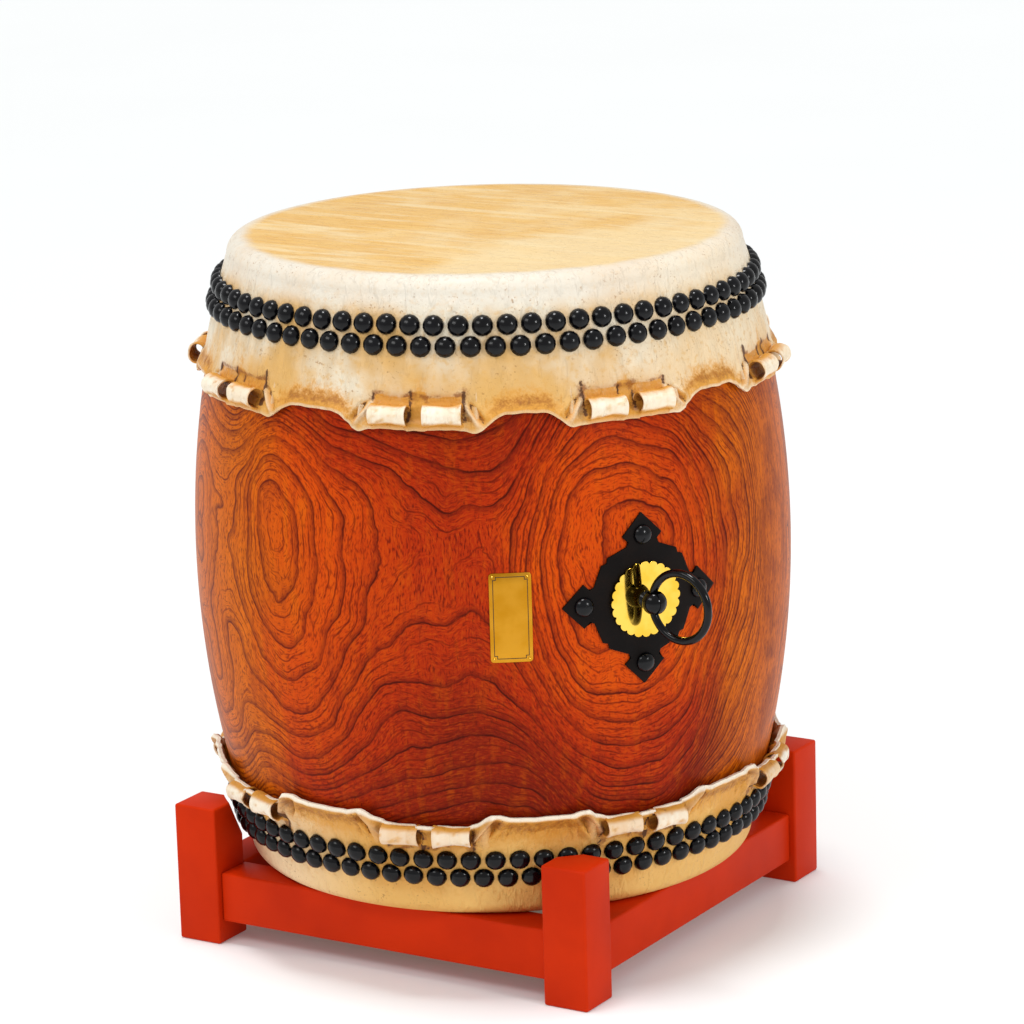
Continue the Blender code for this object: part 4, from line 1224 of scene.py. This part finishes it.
    def build(self, finishes: dict[Gloss, bpy.types.Material]) -> None:
        """Makes the whole fitting.

        Args:
            finishes: the metal finishes.
        """
        self.make_escutcheon(finishes[Gloss.IRON])
        self.make_washer(finishes[Gloss.GILT])
        self.make_eye(finishes[Gloss.RING])
        self.make_nails(finishes[Gloss.TACK])
        self.make_ring(finishes[Gloss.RING])
        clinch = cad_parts[f"{self.name}_clinch_plate"]
        clinch.data.materials.clear()
        clinch.data.materials.append(finishes[Gloss.IRON])


@dataclass
class BarePlate:
    """The small gold plate on the front, with a border line, four pins and nothing on it."""

    barrel: Barrel
    angle: float = 34.6
    level: float = -3 * MM
    width: float = 38 * MM
    height: float = 82.5 * MM
    thickness: float = 0.9 * MM
    corner: float = 3 * MM
    border: float = 3.2 * MM
    notch: float = 2.6 * MM
    line: float = 0.7 * MM

    def rounded(self) -> list[tuple[float, float, float]]:
        """The plate's outline with round corners."""
        points = []
        for quadrant, (across, up) in enumerate(((1, 1), (-1, 1), (-1, -1), (1, -1))):
            centre = (across * (self.width / 2 - self.corner), up * (self.height / 2 - self.corner))
            for step in range(6):
                turn = math.pi / 2 * (quadrant + step / 5)
                points.append((centre[0] + self.corner * math.cos(turn), centre[1] + self.corner * math.sin(turn),
                               0.0))
        return points

    def border_line(self, inset: float) -> list[tuple[float, float, float]]:
        """A line inside the edge whose corners step in round the pins."""
        wide, tall, notch = self.width / 2 - inset, self.height / 2 - inset, self.notch
        corner = [(wide, tall - notch), (wide - notch, tall - notch), (wide - notch, tall)]
        points = []
        for across, up, order in ((1, 1, 1), (-1, 1, -1), (-1, -1, 1), (1, -1, -1)):
            points += [(across * x, up * y, 0.0) for x, y in corner[::order]]
        return points

    def strip(self, name: str) -> Piece:
        """Makes the border line as a thin flat frame.

        Args:
            name: the piece's name.

        Returns:
            The frame, flat about the origin.
        """
        ring = draw_line(name, self.border_line(self.border), closed=True)
        bpy.ops.object.mode_set(mode="EDIT")
        bpy.ops.mesh.select_all(action="SELECT")
        bpy.ops.mesh.inset(thickness=self.line, use_even_offset=True)
        bpy.ops.mesh.delete(type="FACE")
        bpy.ops.mesh.select_all(action="SELECT")
        for cut in np.linspace(-self.width / 2, self.width / 2, 9)[1:-1]:
            bpy.ops.mesh.select_all(action="SELECT")
            bpy.ops.mesh.bisect(plane_co=(cut, 0, 0), plane_no=(1, 0, 0))
        for cut in np.linspace(-self.height / 2, self.height / 2, 9)[1:-1]:
            bpy.ops.mesh.select_all(action="SELECT")
            bpy.ops.mesh.bisect(plane_co=(0, cut, 0), plane_no=(0, 1, 0))
        bpy.ops.object.mode_set(mode="OBJECT")
        apply_modifier(ring, "SOLIDIFY", thickness=0.12 * MM, offset=0.0)
        return ring

    def finish(self, piece: Piece, material: bpy.types.Material, seat: float) -> None:
        """Lays a flat piece on the shell and dresses it.

        Args:
            piece: the piece.
            material: the finish.
            seat: how far its underside is from the shell.
        """
        self.barrel.wrap(piece, self.angle, self.level, seat)
        close_up(piece, smooth=30.0)
        piece.data.materials.append(material)
        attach(piece, "drum")
        log.info("%s made: %d faces", piece.name, len(piece.data.polygons))

    def build(self, finishes: dict[Gloss, bpy.types.Material]) -> None:
        """Makes the plate, its border and its pins.

        Args:
            finishes: the metal finishes.
        """
        plate = draw_line("bare_gold_plate", self.rounded(), closed=True)
        bpy.ops.object.mode_set(mode="EDIT")
        for cut in np.linspace(-self.width / 2, self.width / 2, 9)[1:-1]:
            bpy.ops.mesh.select_all(action="SELECT")
            bpy.ops.mesh.bisect(plane_co=(cut, 0, 0), plane_no=(1, 0, 0))
        for cut in np.linspace(-self.height / 2, self.height / 2, 9)[1:-1]:
            bpy.ops.mesh.select_all(action="SELECT")
            bpy.ops.mesh.bisect(plane_co=(0, cut, 0), plane_no=(0, 1, 0))
        bpy.ops.object.mode_set(mode="OBJECT")
        close_up(plate)
        apply_modifier(plate, "SOLIDIFY", thickness=self.thickness,
                       offset=1.0 if plate.data.polygons[0].normal.z > 0 else -1.0)
        apply_modifier(plate, "BEVEL", width=0.3 * MM, segments=2, limit_method="ANGLE",
                       angle_limit=math.radians(40))
        self.finish(plate, finishes[Gloss.PLATE], 0.1 * MM)
        self.finish(self.strip("plate_border"), finishes[Gloss.INK], 0.1 * MM + self.thickness)
        bpy.ops.object.select_all(action="DESELECT")
        bpy.ops.mesh.primitive_uv_sphere_add(segments=16, ring_count=8, radius=1.1 * MM)
        pin = bpy.context.object
        bpy.ops.object.mode_set(mode="EDIT")
        bpy.ops.mesh.select_all(action="SELECT")
        bpy.ops.mesh.bisect(plane_co=(0, 0, 0), plane_no=(0, 0, 1), clear_inner=True, use_fill=True)
        bpy.ops.object.mode_set(mode="OBJECT")
        close_up(pin)
        across, up = self.width / 2 - 3.2 * MM, self.height / 2 - 3.2 * MM
        places = [Matrix.Translation((x, y, 0.0)) for x in (-across, across) for y in (-up, up)]
        self.finish(copy_at(pin, places, "plate_pins"), finishes[Gloss.GILT], 0.1 * MM + self.thickness)


@dataclass
class Stand:
    """The square stand: four posts hollowed for the drum, and four rails tenoned between them."""

    barrel: Barrel
    edge: float = 2.4 * MM

    def board(self, name: str, low: Vector, high: Vector) -> Piece:
        """Makes a board with rounded edges between two corners.

        Args:
            name: the piece's name.
            low: its lowest corner.
            high: its highest corner.

        Returns:
            The board.
        """
        bpy.ops.object.select_all(action="DESELECT")
        bpy.ops.mesh.primitive_cube_add(size=1.0, location=(low + high) / 2)
        board = bpy.context.object
        board.name = name
        bpy.ops.transform.resize(value=high - low)
        bpy.ops.object.transform_apply(location=True, rotation=True, scale=True)
        apply_modifier(board, "BEVEL", width=self.edge, segments=4, limit_method="ANGLE",
                       angle_limit=math.radians(60))
        return board

    def finish(self, piece: Piece, node: str, paint: bpy.types.Material) -> None:
        """Dresses a piece of the stand and lets it stand for its CAD node."""
        hold(piece)
        bpy.ops.object.shade_smooth_by_angle(angle=math.radians(30))
        piece.data.materials.append(paint)
        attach(piece, "root")
        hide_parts(node)
        log.info("%s made: %d faces", piece.name, len(piece.data.polygons))

    def build(self, paint: bpy.types.Material) -> None:
        """Makes the posts and rails from their nodes' boxes.

        Args:
            paint: the finish.
        """
        rail_low, rail_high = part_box("rail_front")
        _, post_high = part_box("post_front_left")
        proud = 3.3 * MM + 7 * MM + 6 * MM
        low_radius = self.barrel.mouth_radius + 3.3 * MM + 6 * MM
        high_radius = float(self.barrel.radius(post_high[2] - self.barrel.middle)) + proud
        height = post_high[2] - rail_high[2]
        for depth in ("front", "back"):
            for hand in ("left", "right"):
                node = f"post_{depth}_{hand}"
                low, high = (Vector(corner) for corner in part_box(node))
                post = self.board(f"{node}_painted", low, high)
                bpy.ops.object.select_all(action="DESELECT")
                slope = (high_radius - low_radius) / height
                extra = 20 * MM
                bpy.ops.mesh.primitive_cone_add(vertices=192, radius1=low_radius, radius2=high_radius + slope * extra,
                                                depth=height + extra,
                                                location=(0, 0, rail_high[2] + (height + extra) / 2))
                hollow = bpy.context.object
                apply_modifier(post, "BOOLEAN", operation="DIFFERENCE", solver="EXACT", object=hollow)
                bpy.data.objects.remove(hollow, do_unlink=True)
                self.finish(post, node, paint)
        for side in ("front", "right", "back", "left"):
            node = f"rail_{side}"
            low, high = (Vector(corner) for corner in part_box(node))
            along = 0 if side in ("front", "back") else 1
            shoulder = 22 * MM
            low[along] += shoulder
            high[along] -= shoulder
            self.finish(self.board(f"{node}_painted", low, high), node, paint)


@dataclass
class Studio:
    """Camera, lights, floor and backdrop."""

    target: Vector
    distance: float = 4.2746
    heading: float = 31.86
    elevation: float = 14.58
    roll: float = -1.7
    focal_mm: float = 158.2

    def camera(self) -> None:
        """Places the camera at the photograph's angle."""
        turn, rise = math.radians(self.heading), math.radians(self.elevation)
        away = Vector((math.cos(rise) * math.sin(turn), -math.cos(rise) * math.cos(turn), math.sin(rise)))
        data = bpy.data.cameras.new("camera")
        data.lens = self.focal_mm
        data.sensor_width = 36.0
        data.shift_x = 0.0181
        data.shift_y = 0.0276
        camera = bpy.data.objects.new("camera", data)
        bpy.context.scene.collection.objects.link(camera)
        facing = away.to_track_quat("Z", "Y").to_matrix().to_4x4()
        camera.matrix_world = (Matrix.Translation(self.target + away * self.distance) @ facing
                               @ Matrix.Rotation(math.radians(self.roll), 4, "Z"))
        bpy.context.scene.camera = camera

    def softbox(self, name: str, heading: float, elevation: float, distance: float, width: float, height: float,
                power: float) -> None:
        """Adds a soft light that faces the drum.

        Args:
            name: the light's name.
            heading: its direction round the drum, in degrees from -Y towards +X.
            elevation: its angle above the drum's middle.
            distance: how far it is.
            width: its width.
            height: its height.
            power: its power in watts.
        """
        turn, rise = math.radians(heading), math.radians(elevation)
        away = Vector((math.cos(rise) * math.sin(turn), -math.cos(rise) * math.cos(turn), math.sin(rise)))
        data = bpy.data.lights.new(name, "AREA")
        data.shape = "RECTANGLE"
        data.size = width
        data.size_y = height
        data.energy = power
        lamp = bpy.data.objects.new(name, data)
        bpy.context.scene.collection.objects.link(lamp)
        facing = away.to_track_quat("Z", "Y").to_matrix().to_4x4()
        lamp.matrix_world = Matrix.Translation(self.target + away * distance) @ facing

    def build(self) -> None:
        """Builds the whole studio."""
        self.camera()
        scene = bpy.context.scene
        scene.view_settings.view_transform = "Standard"
        world = bpy.data.worlds.new("studio")
        scene.world = world
        world.use_nodes = True
        world.node_tree.nodes["Background"].inputs["Color"].default_value = (1.0, 1.0, 1.0, 1.0)
        world.node_tree.nodes["Background"].inputs["Strength"].default_value = 0.58
        sun = bpy.data.lights.new("skylight", "SUN")
        sun.energy = 1.5
        sun.angle = math.radians(14.0)
        lamp = bpy.data.objects.new("skylight", sun)
        scene.collection.objects.link(lamp)
        turn, rise = math.radians(-75.0), math.radians(86.0)
        away = Vector((math.cos(rise) * math.sin(turn), -math.cos(rise) * math.cos(turn), math.sin(rise)))
        lamp.matrix_world = away.to_track_quat("Z", "Y").to_matrix().to_4x4()
        self.softbox("left_softbox", -16.0, 40.0, 2.6, 1.3, 0.7, 15.0)
        self.softbox("right_softbox", 78.0, 22.0, 2.4, 0.3, 0.42, 12.0)
        bpy.ops.object.select_all(action="DESELECT")
        bpy.ops.mesh.primitive_plane_add(size=40.0, location=(0, 0, 0))
        floor = bpy.context.object
        floor.name = "floor"
        recipe = Recipe("white_paper_floor", {"Roughness": 0.95, "Specular IOR Level": 0.1,
                                              "Emission Color": linear("#FFFFFF"), "Emission Strength": 0.07})
        cloud = recipe.add("TexNoise", {"Vector": recipe.place, "Scale": 1 / (600 * MM)})
        floor.data.materials.append(recipe.finish({"Base Color": recipe.add("Mix", {
            0: cloud, 6: "#F0F2F2", 7: "#EDEFEF"}, 2, data_type="RGBA")}))


def main() -> None:
    """Builds the drum, its stand and the studio."""
    logging.basicConfig(level=logging.INFO, format="%(name)s: %(message)s")
    low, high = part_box("body_shell")
    barrel = Barrel(low[2], high[2])
    Studio(Vector((0.0, 0.0, barrel.middle - 4.5 * MM))).build()
    finishes = {gloss: gloss.value.material() for gloss in Gloss}
    Shell(barrel).build(LacqueredZelkova(barrel).material())
    top_hide = Rawhide("top_rawhide", barrel, "#E8DCC4", "#DBAA5E", "#E4DDD0", (0.2, 0.26, 0.6)).material()
    bottom_hide = Rawhide("bottom_rawhide", barrel, "#E8B564", "#D8983E", "#E8B868").material()
    Skin("top", barrel, 1, 127 * MM, 114 * MM, 40.0, 114 * MM,
         (-26.5, 18.0, 59.0, 103.0, 148.5, 195.0, 242.0, 288.0), 0.9, 4 * MM, 2.5 * MM, 4 * MM,
         3.0 * MM).build(top_hide, finishes[Gloss.TACK])
    Skin("bottom", barrel, -1, 92 * MM, 99 * MM, 20.0, 83 * MM,
         (-27.0, 17.0, 61.0, 104.5, 149.0, 196.0, 241.0, 287.0), 2.8, 8 * MM, 3.5 * MM, 8 * MM,
         4.0 * MM).build(bottom_hide, finishes[Gloss.TACK])
    for name, angle in (("front", 60.0), ("back", 240.0)):
        RingFitting(name, barrel, angle).build(finishes)
    BarePlate(barrel).build(finishes)
    Stand(barrel).build(VermilionPaint().material())


if __name__ == "__main__":
    main()
